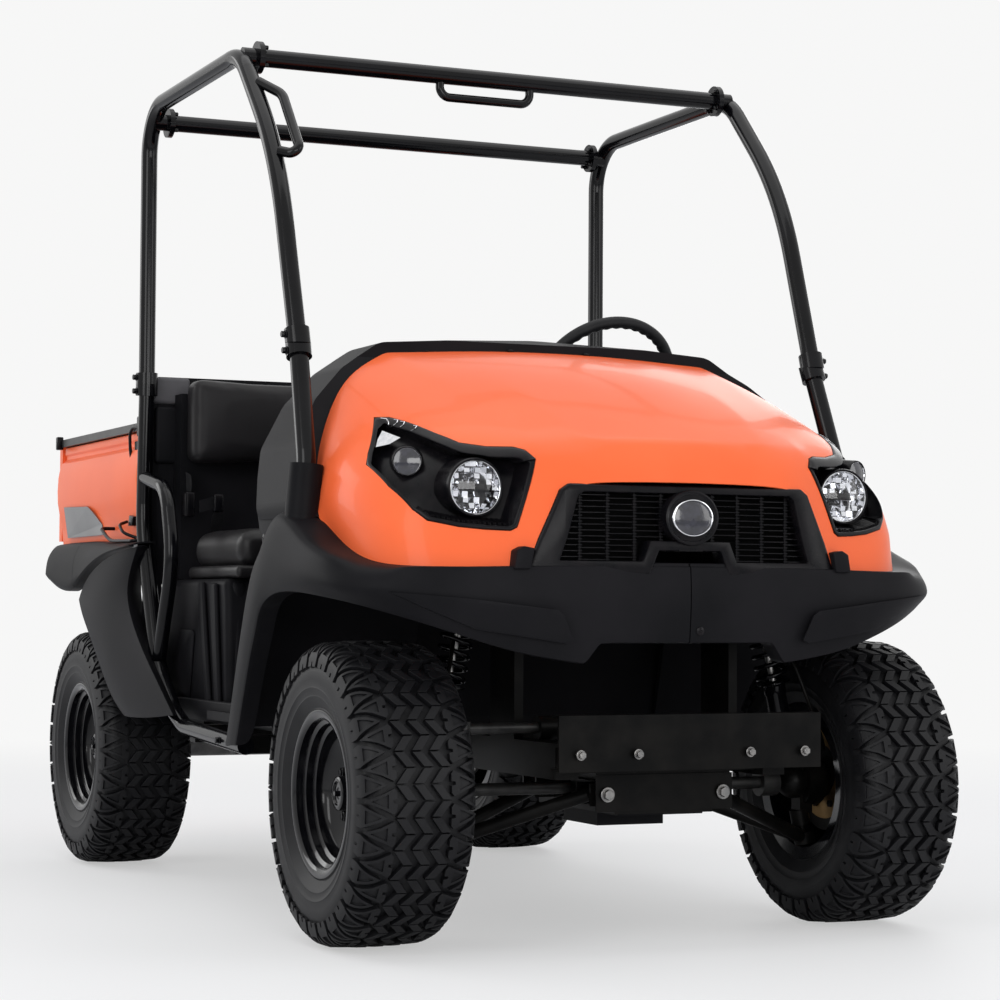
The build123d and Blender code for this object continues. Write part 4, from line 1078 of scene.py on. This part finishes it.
# ---------------------------------------------------------------- rear panel wings
# Grey moulded boxes at the outer edges of the rear panel, beside the seat backs, and a flat splash
# guard below each, between the panel and the cage's rear leg.
wing_grey = mottled("wing_grey_moulding", (0.062, 0.060, 0.064), (0.088, 0.085, 0.090), scale=9.0, Roughness=0.5,
                    Specular_IOR_Level=0.2)
for side, hand in (("left", 1), ("right", -1)):
    upper = block("upper", (hand * 0.500, 0.375, 1.168), (hand * 0.600, 0.400, 1.234))
    lower = block("lower", (hand * 0.505, 0.372, 1.020), (hand * 0.590, 0.400, 1.162))
    guard = block("guard", (hand * 0.566, 0.388, 0.540), (hand * 0.614, 0.392, 1.225))
    for part in (upper, lower):
        bevelled(part, 0.010, 4)
        smooth(part, 40)
    paint_with(upper, wing_grey)
    paint_with(lower, moulding)
    paint_with(guard, moulding)
    upper.name = "rear_panel_wing_" + side
    lower.name = "rear_panel_wing_foot_" + side
    guard.name = "splash_guard_" + side
    for part in (upper, lower, guard):
        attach(part, "chassis")

# ---------------------------------------------------------------- seat belts
# A lap belt for each seat: a retractor by the outer rear edge of the cushion, webbing led over the
# pad's back corner, and a buckle on a short stalk.
webbing = mottled("belt_webbing", (0.006, 0.006, 0.007), (0.011, 0.011, 0.012), scale=60.0, grain=1400.0,
                  strength=0.5, depth=0.0006, Roughness=0.7, Specular_IOR_Level=0.2)


def bar(name, points, radius, bend=6):
    """A round wire or tube along points in millimetres, eased at its bends."""
    line = bpy.data.curves.new(name, "CURVE")
    line.dimensions = "3D"
    line.bevel_depth = radius / 1000
    line.bevel_resolution = 4
    line.use_fill_caps = True
    path = in_metres(points)
    eased = []
    for k, point in enumerate(path):
        if k in (0, len(path) - 1):
            eased.append(point)
            continue
        before, after = path[k - 1], path[k + 1]
        reach = min((before - point).length, (after - point).length) * 0.42
        start = point + (before - point).normalized() * reach
        end = point + (after - point).normalized() * reach
        for step in range(bend + 1):
            share = step / bend
            eased.append(start * (1 - share) ** 2 + point * 2 * share * (1 - share) + end * share ** 2)
    spline = line.splines.new("POLY")
    spline.points.add(len(eased) - 1)
    for knot, point in zip(spline.points, eased):
        knot.co = (*point, 1)
    made = bpy.data.objects.new(name, line)
    bpy.context.collection.objects.link(made)
    select_only(made)
    bpy.ops.object.convert(target="MESH")
    smooth(made, 50)
    return made


def strap(name, points, width, across):
    """A flat band of webbing 1.6 mm thick along points in metres, its width set along a direction."""
    half = Vector(across).normalized() * width / 2
    made = panel_from_rows(name, [[Vector(point) - half, Vector(point) + half] for point in points])
    finish_with(made, "SUBSURF", levels=2, render_levels=2)
    finish_with(made, "SOLIDIFY", thickness=0.0016, offset=0)
    smooth(made, 40)
    return made


for side, hand in (("left", 1), ("right", -1)):
    retractor = block("retractor", (hand * 0.520, 0.262, 0.885), (hand * 0.545, 0.300, 0.947))
    bevelled(retractor, 0.006, 3)
    buckle = block("buckle", (hand * 0.452, 0.246, 0.898), (hand * 0.478, 0.262, 0.942))
    bevelled(buckle, 0.005, 3)
    tongue = prism("tongue", [(hand * 0.478, 0.252, 0.905), (hand * 0.512, 0.258, 0.895),
                              (hand * 0.512, 0.258, 0.925), (hand * 0.478, 0.252, 0.935)], (0, 0.003, 0))
    hardware = joined([retractor, buckle, tongue], "belt_hardware_" + side)
    smooth(hardware, 35)
    paint_with(hardware, satin)
    band = strap("lap_belt_" + side, [(hand * 0.532, 0.281, 0.942), (hand * 0.530, 0.283, 0.975),
                                      (hand * 0.528, 0.300, 1.000), (hand * 0.525, 0.340, 0.985),
                                      (hand * 0.522, 0.372, 0.940)], 0.044, (0, 1, 0.2))
    stalk = strap("belt_stalk_" + side, [(hand * 0.463, 0.258, 0.900), (hand * 0.460, 0.275, 0.875),
                                         (hand * 0.455, 0.300, 0.850), (hand * 0.452, 0.320, 0.800)], 0.030,
                  (1, 0, 0))
    for piece, mat in ((hardware, None), (band, webbing), (stalk, webbing)):
        if mat:
            paint_with(piece, mat)
        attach(piece, "chassis")

# ---------------------------------------------------------------- rear fenders
# A black moulded panel each side ahead of the rear wheel: broad and gently bowed, turned in along a
# crease at its front and rolled at the wheel arch, carried from the frame rail by a bar.

# rows from the seam under the bed to the foot, each from the inner front edge to the arch's return
rear_fender_rows = [
    [(604, 352, 812), (628, 326, 814), (648, 322, 812), (660, 400, 806), (667, 560, 786), (668, 735, 738),
     (662, 822, 682), (640, 818, 680)],
    [(604, 420, 765), (630, 380, 760), (652, 372, 756), (664, 440, 750), (672, 560, 725), (673, 690, 680),
     (666, 780, 648), (642, 776, 646)],
    [(604, 452, 705), (632, 410, 702), (654, 398, 700), (666, 460, 692), (674, 545, 668), (675, 640, 630),
     (668, 704, 602), (644, 700, 600)],
    [(602, 400, 630), (632, 362, 632), (654, 350, 634), (666, 410, 622), (674, 480, 596), (675, 548, 560),
     (668, 604, 532), (644, 600, 530)],
    [(602, 310, 550), (630, 270, 556), (652, 254, 560), (664, 320, 544), (672, 398, 516), (673, 466, 486),
     (666, 522, 466), (642, 518, 464)],
    [(602, 210, 470), (628, 150, 484), (650, 132, 490), (661, 220, 466), (668, 320, 444), (669, 396, 428),
     (662, 452, 424), (640, 448, 422)],
    [(602, 110, 404), (626, 40, 414), (646, 14, 416), (656, 110, 406), (662, 220, 400), (663, 320, 398),
     (657, 392, 398), (638, 388, 398)],
]
rear_left = panel_from_rows("rear_fender_left", [in_metres(row) for row in rear_fender_rows])
crease_column(rear_left, rear_fender_rows, 2, 0.75)
crease_column(rear_left, rear_fender_rows, 6, 0.85)
for row in (rear_fender_rows[0], rear_fender_rows[-1]):
    crease(rear_left, row, 1.0)
outward(rear_left)
finish_with(rear_left, "SUBSURF", levels=2, render_levels=2)
finish_with(rear_left, "SOLIDIFY", thickness=0.004, offset=-1)
stay = block("fender_stay", (0.255, 0.460, 0.500), (0.660, 0.500, 0.530))
rear_left = joined([rear_left, stay], "rear_fender_left_panel")
smooth(rear_left, 32)
paint_with(rear_left, moulding)
rear_right = other_hand(rear_left, "rear_fender_right_panel")
for piece in (rear_left, rear_right):
    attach(piece, "chassis")
    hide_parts("rear_fenders")

# ---------------------------------------------------------------- rear flares
# The flares over the rear wheels are two black mouldings each, seamed together and screwed under the
# bed's sides, so that they rise with it.

# stations from the front seam to the tip, each from the bed's side outwards to the lip's return
flare_rows = [
    [(600, 330, 826), (632, 330, 825), (658, 332, 820), (667, 336, 815), (660, 338, 813), (645, 338, 813)],
    [(600, 450, 828), (636, 450, 826), (662, 452, 818), (670, 458, 808), (664, 462, 805), (645, 462, 805)],
    [(600, 560, 830), (638, 560, 828), (665, 564, 815), (673, 574, 798), (667, 580, 794), (645, 580, 794)],
    [(600, 700, 833), (640, 700, 830), (668, 706, 806), (676, 722, 764), (670, 730, 758), (645, 730, 758)],
    [(600, 800, 836), (641, 800, 832), (669, 812, 796), (677, 838, 716), (671, 846, 706), (645, 846, 706)],
    [(600, 900, 838), (641, 900, 833), (669, 908, 796), (677, 912, 716), (671, 912, 704), (645, 912, 704)],
    [(600, 1000, 838), (640, 1000, 833), (668, 1008, 798), (676, 1012, 728), (670, 1012, 714), (645, 1012, 714)],
    [(600, 1080, 838), (640, 1082, 832), (668, 1086, 800), (676, 1088, 745), (669, 1088, 733), (645, 1086, 733)],
    [(600, 1150, 838), (640, 1150, 832), (667, 1146, 802), (674, 1135, 752), (667, 1132, 741), (645, 1130, 741)],
    [(600, 1150, 820), (632, 1148, 815), (650, 1141, 792), (655, 1134, 764), (651, 1133, 758), (642, 1131, 758)],
]
flare_left = panel_from_rows("flare_left", [in_metres(row) for row in flare_rows])
for column, amount in [(3, 0.9), (4, 0.9), (1, 0.35), (0, 1.0)]:
    crease_column(flare_left, flare_rows, column, amount)
crease(flare_left, flare_rows[-2], 0.95)
crease(flare_left, flare_rows[0], 1.0)
outward(flare_left)
finish_with(flare_left, "SUBSURF", levels=2, render_levels=2)
finish_with(flare_left, "SOLIDIFY", thickness=0.004, offset=-1)
seam = prism("seam", [(0.590, 0.905, 0.900), (0.590, 0.9068, 0.900), (0.700, 0.9068, 0.900), (0.700, 0.905, 0.900)],
             (0, -0.1, -0.25))
cut_by(flare_left, seam)
flare_left.name = "bed_flare_left"
smooth(flare_left, 32)
paint_with(flare_left, moulding)
flare_right = other_hand(flare_left, "bed_flare_right")
for piece in (flare_left, flare_right):
    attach(piece, "bed")
    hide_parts("bed_flares")

# ---------------------------------------------------------------- load bed
# A steel bed: orange sides pressed with a ledge under the rail and a bulge below it, a flat inner
# wall, a boxed orange front wall, grey-black rails with capped ends, and a ribbed floor.
bed_front_y, bed_rear_y = 0.440, 1.240
side_section = [(576, 1104), (592, 1104), (597, 1102), (598, 1084), (594, 1079), (594, 1070), (598, 1066),
                (607, 1058), (613, 1042), (617, 1020), (619, 984), (618, 950), (612, 915), (606, 885), (602, 850),
                (600, 828), (576, 828)]
stations = [(bed_front_y, -4), (bed_front_y + 0.004, 0), (0.70, 0), (0.96, 0), (bed_rear_y - 0.012, 0),
            (bed_rear_y - 0.003, -4), (bed_rear_y, -12)]
side_rows = [[Vector(((x + (draw if x > 590 else 0)) / 1000, y, z / 1000))
              for x, z in side_section + side_section[:1]] for y, draw in stations]
bed_side_left = panel_from_rows("bed_side_left", side_rows)
select_only(bed_side_left)
enter_edit()
bpy.ops.mesh.select_all(action="SELECT")
bpy.ops.mesh.remove_doubles(threshold=0.00005)
bpy.ops.mesh.select_all(action="DESELECT")
bpy.ops.mesh.select_non_manifold()
bpy.ops.mesh.edge_face_add()
leave_edit()
outward(bed_side_left)
bed_side_left.name = "bed_side_left_panel"
bevelled(bed_side_left, 0.003, 3, 18)
smooth(bed_side_left, 40)
paint_with(bed_side_left, orange)
bed_side_right = other_hand(bed_side_left, "bed_side_right_panel")
for piece in (bed_side_left, bed_side_right):
    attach(piece, "bed")
    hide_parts("bed_sides")
plate_grey = mottled("blank_plate_grey", (0.20, 0.20, 0.20), (0.24, 0.24, 0.24), Roughness=0.45)
grey_black = mottled("grey_black_paint", (0.020, 0.020, 0.020), (0.030, 0.030, 0.030), scale=22.0, Roughness=0.42,
                     Specular_IOR_Level=0.35)
grey_enamel = mottled("grey_enamel", (0.06, 0.06, 0.06), (0.09, 0.09, 0.09), scale=9.0, grain=260.0, Roughness=0.45)
dress(grey_black, "bed_rails")
dress(grey_enamel, "bed_floor")
dress(orange, "bed_front", "tailgate")
for side, hand in (("left", 1), ("right", -1)):
    plate = prism("blank_plate", [(0.6185, 1.150, 0.936), (0.6185, 0.905, 0.930), (0.6185, 0.855, 0.915),
                                  (0.6185, 0.800, 0.880), (0.6185, 0.790, 0.852), (0.6185, 1.150, 0.852)],
                  (0.002, 0, 0))
    for corner in plate.data.vertices:
        if corner.co.z < 0.90:
            corner.co.x -= 0.012
    plate.name = "blank_plate_" + side
    lever = joined([
        bar("lever", [(604, 690, 866), (640, 690, 866), (642, 596, 832), (640, 398, 828), (606, 398, 832)], 4.5),
        bar("lever_stay", [(606, 480, 838), (634, 500, 850), (634, 540, 872), (608, 560, 880)], 4),
    ], "latch_lever_" + side)
    hook = prism("hook",
                 [(0.604, 0.515, 0.868), (0.604, 0.480, 0.868), (0.604, 0.470, 0.890), (0.604, 0.505, 0.895)],
                 (0.014, 0, 0))
    bevelled(hook, 0.002, 2)
    catch = block("catch", (0.604, 1.225, 1.098), (0.622, 1.243, 1.134))
    bevelled(catch, 0.003, 2)
    front_plate = prism("front_plate", [(0.600, 0.470, 0.905), (0.600, 0.500, 0.905), (0.604, 0.500, 1.080),
                                        (0.604, 0.470, 1.080)], (0.003, 0, 0))
    loop = bar("loop", [(604, 455, 1112), (612, 500, 1116), (614, 520, 1100), (612, 522, 1060), (608, 520, 1030),
                        (604, 500, 1010)], 4)
    cap_block = block("rail_cap", (0.585, 0.436, 1.090), (0.612, 0.470, 1.142))
    bevelled(cap_block, 0.006, 3)
    fittings = joined([lever, hook, catch, front_plate, loop, cap_block], "bed_fittings_" + side)
    smooth(fittings, 40)
    paint_with(plate, plate_grey)
    paint_with(fittings, satin)
    for piece, slot in ((plate, "bed_grey"), (fittings, "black_plastic")):
        if hand < 0:
            handed = other_hand(piece, piece.name + "_handed")
            bpy.data.objects.remove(piece)
            handed.name = handed.name.replace("_handed", "")
            piece = handed
        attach(piece, "bed")

# ---------------------------------------------------------------- steering wheel
# A moulded soft-grip wheel on three flat spokes: the rim's underside is scalloped for the fingers,
# and a plain cap covers the hub. It turns with its shaft.
grip = mottled("soft_grip", (0.006, 0.006, 0.007), (0.010, 0.010, 0.011), scale=30.0, grain=700.0, strength=0.2,
               Roughness=0.5, Specular_IOR_Level=0.2)


def upright(name, profile, steps):
    """A ring turned about the Z axis from its closed profile of (z, radius) in millimetres."""
    return stood(turned(name, profile, steps), (0, 0, 0), (0, -90, 0))


wheel_at, column_rise = (260, -400, 1190), 35
wheel_r, rim_r, scallops, around, across_rim = 0.163, 0.0145, 40, 240, 16
deselect()
bpy.ops.mesh.primitive_torus_add(major_radius=wheel_r, minor_radius=rim_r, major_segments=around,
                                 minor_segments=across_rim)
hand_rim = bpy.context.object
for corner in hand_rim.data.vertices:
    angle = math.atan2(corner.co.y, corner.co.x)
    middle = Vector((math.cos(angle), math.sin(angle), 0)) * wheel_r
    inner = max(0, -(corner.co - middle).dot(middle.normalized()) / rim_r)
    waved = 0.0028 * inner * (0.5 + 0.5 * math.cos(scallops * angle))
    corner.co -= (corner.co - middle).normalized() * waved
wheel_parts = [hand_rim]
for angle in (0, 90, 180):
    spoke = prism("spoke", [(0.030, -0.020, -0.015), (0.150, -0.013, -0.007), (0.154, 0, -0.007),
                            (0.150, 0.013, -0.007), (0.030, 0.020, -0.015)], (0, 0, 0.008))
    bevelled(spoke, 0.003, 3)
    stood(spoke, (0, 0, 0), (0, 0, angle))
    wheel_parts.append(spoke)
hub = upright("hub", [(-35, 41), (-4, 41.5), (-1, 39), (0, 34), (-2, 30), (-3, 0.05), (-35, 0.05)], 64)
shaft = upright("shaft", [(-130, 9), (-30, 9), (-30, 0.05), (-130, 0.05)], 32)
hand_wheel = joined(wheel_parts + [hub, shaft], "steering_wheel_dressed")
stood(hand_wheel, (0, 0, 0), (column_rise - 90, 0, 0))
stood(hand_wheel, wheel_at)
smooth(hand_wheel, 40)
paint_with(hand_wheel, grip)
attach(hand_wheel, "steering_wheel")
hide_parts("steering_wheel")

# ---------------------------------------------------------------- struts and front brakes
# A damper in a black tube with a coil spring between pressed seats and a polished rod, leaning with
# the steering axis that it turns about, and a disc brake on the knuckle below it.
foot, head = Vector((450, -985, 190)), Vector((334, -985, 700))
lean = math.degrees(math.atan2(foot.x - head.x, head.z - foot.z))


def on_axis(z):
    """The point of the left steering axis at a height."""
    return foot + (head - foot) * (z - foot.z) / (head.z - foot.z)


spring_foot, spring_head, turns, wire = 512, 662, 6.5, 5.2
# the strut's pieces are made about the damper's top, and a height is this much longer along the axis
damper_top, stretch = 505, 1.0255
coil_points = []
for k in range(int(turns * 20) + 1):
    angle = k / 20 * 2 * math.pi
    coil_points.append((31 * math.cos(angle), 31 * math.sin(angle),
                        (spring_head - spring_foot) * 1.025 * k / (turns * 20)))
coil = bar("coil", coil_points, wire, bend=2)
damper = upright("damper", [(-168, 22), (-20, 22), (-16, 24), (0, 24), (6, 36.5), (8, 36.5), (8, 22), (10, 20),
                            (12, 0.05), (-168, 0.05)], 48)
top_seat = upright("top_seat", [(0, 36.5), (7, 36), (10, 26), (12, 14), (40, 13), (42, 10), (56, 8), (56, 0.05),
                                (0, 0.05)], 48)
stood(top_seat, (0, 0, (spring_head + 2 - damper_top) * stretch))
rod_piece = upright("rod", [(8, 7.5), (170, 7.5), (170, 0.05), (8, 0.05)], 32)
stood(coil, (0, 0, 9))
strut_body = joined([damper, top_seat], "strut_left_body")
for piece in (strut_body, coil, rod_piece):
    stood(piece, (0, 0, 0), (0, -lean, 0))
    stood(piece, on_axis(damper_top))
    smooth(piece, 40)
coil.name, rod_piece.name = "strut_left_spring", "strut_left_rod"

# a brake with a bronze-coloured dust plate and a caliper, and its hose, on each front knuckle
dust = mottled("bronze_zinc", (0.20, 0.12, 0.045), (0.30, 0.19, 0.08), scale=26.0, grain=420.0, strength=0.2,
               Metallic=0.9, Roughness=0.4)
axle_y, axle_z = -985, 325
plate = stood(turned("plate", [(499, 104.5), (503, 104.5), (505, 100), (503, 96), (500, 60), (499, 52)], 64),
              (0, axle_y, axle_z))
caliper = prism("caliper", [(0.470, axle_y / 1000 + 0.040, 0.385), (0.512, axle_y / 1000 + 0.040, 0.385),
                            (0.512, axle_y / 1000 + 0.098, 0.345), (0.470, axle_y / 1000 + 0.098, 0.345)],
                (0, 0, -0.060))
bevelled(caliper, 0.006, 3)
brake_parts = [caliper]
for k in range(8):
    angle = math.radians(45 * k + 20)
    bolt_y, bolt_z = axle_y / 1000 + 0.078 * math.cos(angle), axle_z / 1000 + 0.078 * math.sin(angle)
    brake_parts.append(stud(6, 0.008, 0.008, (0.497, bolt_y, bolt_z)))
brake = joined(brake_parts, "brake_left_caliper")
smooth(brake, 35)
hose = bar("brake_left_hose",
           [(372, -1005, 600), (392, -1040, 560), (420, -1060, 470), (455, -1050, 400), (480, -1020, 370)], 4.5)
plate.name = "brake_left_plate"
smooth(plate, 40)
for piece, mat, slot, stands_for in [
    (strut_body, cage_black, "black_steel", "strut_{}"), (coil, cage_black, "black_steel", "strut_{}"),
    (rod_piece, shaft_steel, "bare_steel", "strut_{}"), (plate, dust, "bare_steel", None),
    (brake, chassis_black, "black_steel", None), (hose, chassis_black, "black_steel", None),
]:
    paint_with(piece, mat)
    twin = other_hand(piece, piece.name.replace("left", "right"))
    for made, side in ((piece, "left"), (twin, "right")):
        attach(made, "knuckle_" + side)
        if stands_for:
            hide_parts(stands_for.format(side))

# ---------------------------------------------------------------- bolts and clamps
# Hex bolts on washers: zinc-plated ones in the nose beam and the front subframe, black ones in the
# cross bars' flanges, the cage's collars and its feet.
zinc = mottled("zinc_plate", (0.16, 0.16, 0.16), (0.30, 0.29, 0.28), scale=40.0, Metallic=1.0, Roughness=0.34)


def hex_bolt(place, along, across_flats, washer):
    """A hex head on a washer of a radius, at a place in millimetres, facing along a direction."""
    made = []
    for vertices, radius, depth, at in ((32, washer / 1000, 0.002, 0.001), (6, across_flats / 1730, 0.009, 0.0055)):
        deselect()
        bpy.ops.mesh.primitive_cylinder_add(vertices=vertices, radius=radius, depth=depth, location=(0, 0, at))
        part = bpy.context.object
        bpy.ops.object.transform_apply(location=True, rotation=True, scale=True)
        bevelled(part, 0.0007, 1)
        made.append(part)
    bolt = joined(made, "hex_bolt")
    turn = Vector(along).to_track_quat("Z", "Y").to_euler()
    return stood(bolt, place, [math.degrees(angle) for angle in turn])


zinc_bolts, black_bolts = [], []
for x in (-246, -123, 123, 246):
    zinc_bolts.append(hex_bolt((x, -1336, 388), (0, -1, 0), 13, 10))
for hand in (-1, 1):
    for y in (-1206, -1094):
        zinc_bolts.append(hex_bolt((hand * 129, y - 8, 302), (0, -1, 0), 19, 15))
    for y, z in ((-360, 1887), (326, 1858)):
        for k in range(4):
            angle = math.radians(45 + 90 * k)
            black_bolts.append(hex_bolt((hand * 571, y + 28 * math.cos(angle), z + 28 * math.sin(angle)),
                                        (-hand, 0, 0), 9, 6.5))
    for y, z in ((-751, 1196), (-744, 1230), (368, 1196), (368, 1230)):
        black_bolts.append(hex_bolt((hand * 641, y, z), (hand, 0, 0), 12, 9))
    black_bolts.append(hex_bolt((hand * 634, -300, 372), (hand, 0, 0), 12, 9))
zinc_set = joined(zinc_bolts, "beam_bolts")
black_set = joined(black_bolts, "cage_bolts")
for piece, mat, slot in ((zinc_set, zinc, "bare_steel"), (black_set, cage_black, "black_steel")):
    smooth(piece, 35)
    paint_with(piece, mat)
    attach(piece, "chassis")

# ---------------------------------------------------------------- cowl details
# Black moulded feet carry the dash's wings down onto the fenders, behind the posts' boots. Domed push
# fasteners hold the cowl's front lip, the fenders' legs and the bumper's seam.
feet = []
for hand in (-1, 1):
    foot_piece = prism("wing_foot", [(hand * 0.596, -0.565, 0.925), (hand * 0.596, -0.560, 0.880),
                                     (hand * 0.596, -0.585, 0.818), (hand * 0.596, -0.640, 0.790),
                                     (hand * 0.596, -0.800, 0.800), (hand * 0.596, -0.800, 0.925)],
                       (hand * 0.046, 0, 0))
    bevelled(foot_piece, 0.012, 4, 30)
    feet.append(foot_piece)
wing_feet = joined(feet, "dash_wing_feet")
smooth(wing_feet, 40)
paint_with(wing_feet, moulding)
fasteners = []
# x, y, z and the way each faces
for x, y, z, face in [(-288, -648, 1222, (-0.1, -0.26, 0.96)), (-92, -654, 1229, (0, -0.21, 0.98)),
                      (-642, -620, 812, (-1, 0, 0.1)), (92, -654, 1229, (0, -0.21, 0.98)),
                      (288, -648, 1222, (0.1, -0.26, 0.96)), (642, -620, 812, (1, 0, 0.1)),
                      (22, -1314, 624, (0.03, -1, -0.09))]:
    dome = turned("dome", [(0, 9), (1.5, 8.6), (2.6, 6), (3, 3), (2.2, 2.4), (2.2, 0.05), (0, 0.05)], 24)
    aim = Vector(face).to_track_quat("X", "Z").to_euler()
    fasteners.append(stood(dome, (x, y, z), [math.degrees(angle) for angle in aim]))
push_fasteners = joined(fasteners, "push_fasteners")
smooth(push_fasteners, 40)
paint_with(push_fasteners, satin)
for piece in (wing_feet, push_fasteners):
    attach(piece, "chassis")

# ---------------------------------------------------------------- front shield
# A flat black steel plate, cut from sheet, that closes the gap between the front beam and the
# subframe behind it.
front_shield = block("front_shield", (-0.150, -1.2045, 0.300), (0.150, -1.2005, 0.392))
bevelled(front_shield, 0.0012, 2)
smooth(front_shield, 35)
paint_with(front_shield, chassis_black)
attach(front_shield, "chassis")

# ---------------------------------------------------------------- tail lamps
# Square lamps on the rear bar, with glossy red moulded lenses that have a fine prismatic grain.
# The solids keep their shape and take their surface here.
red_lens = mottled("red_lens_moulding", (0.42, 0.004, 0.004), (0.60, 0.010, 0.008), scale=40.0, grain=300.0,
                   strength=0.35, depth=0.001, Roughness=0.16, Coat_Weight=0.6, Coat_Roughness=0.04)
dress(red_lens, "tail_lamps")
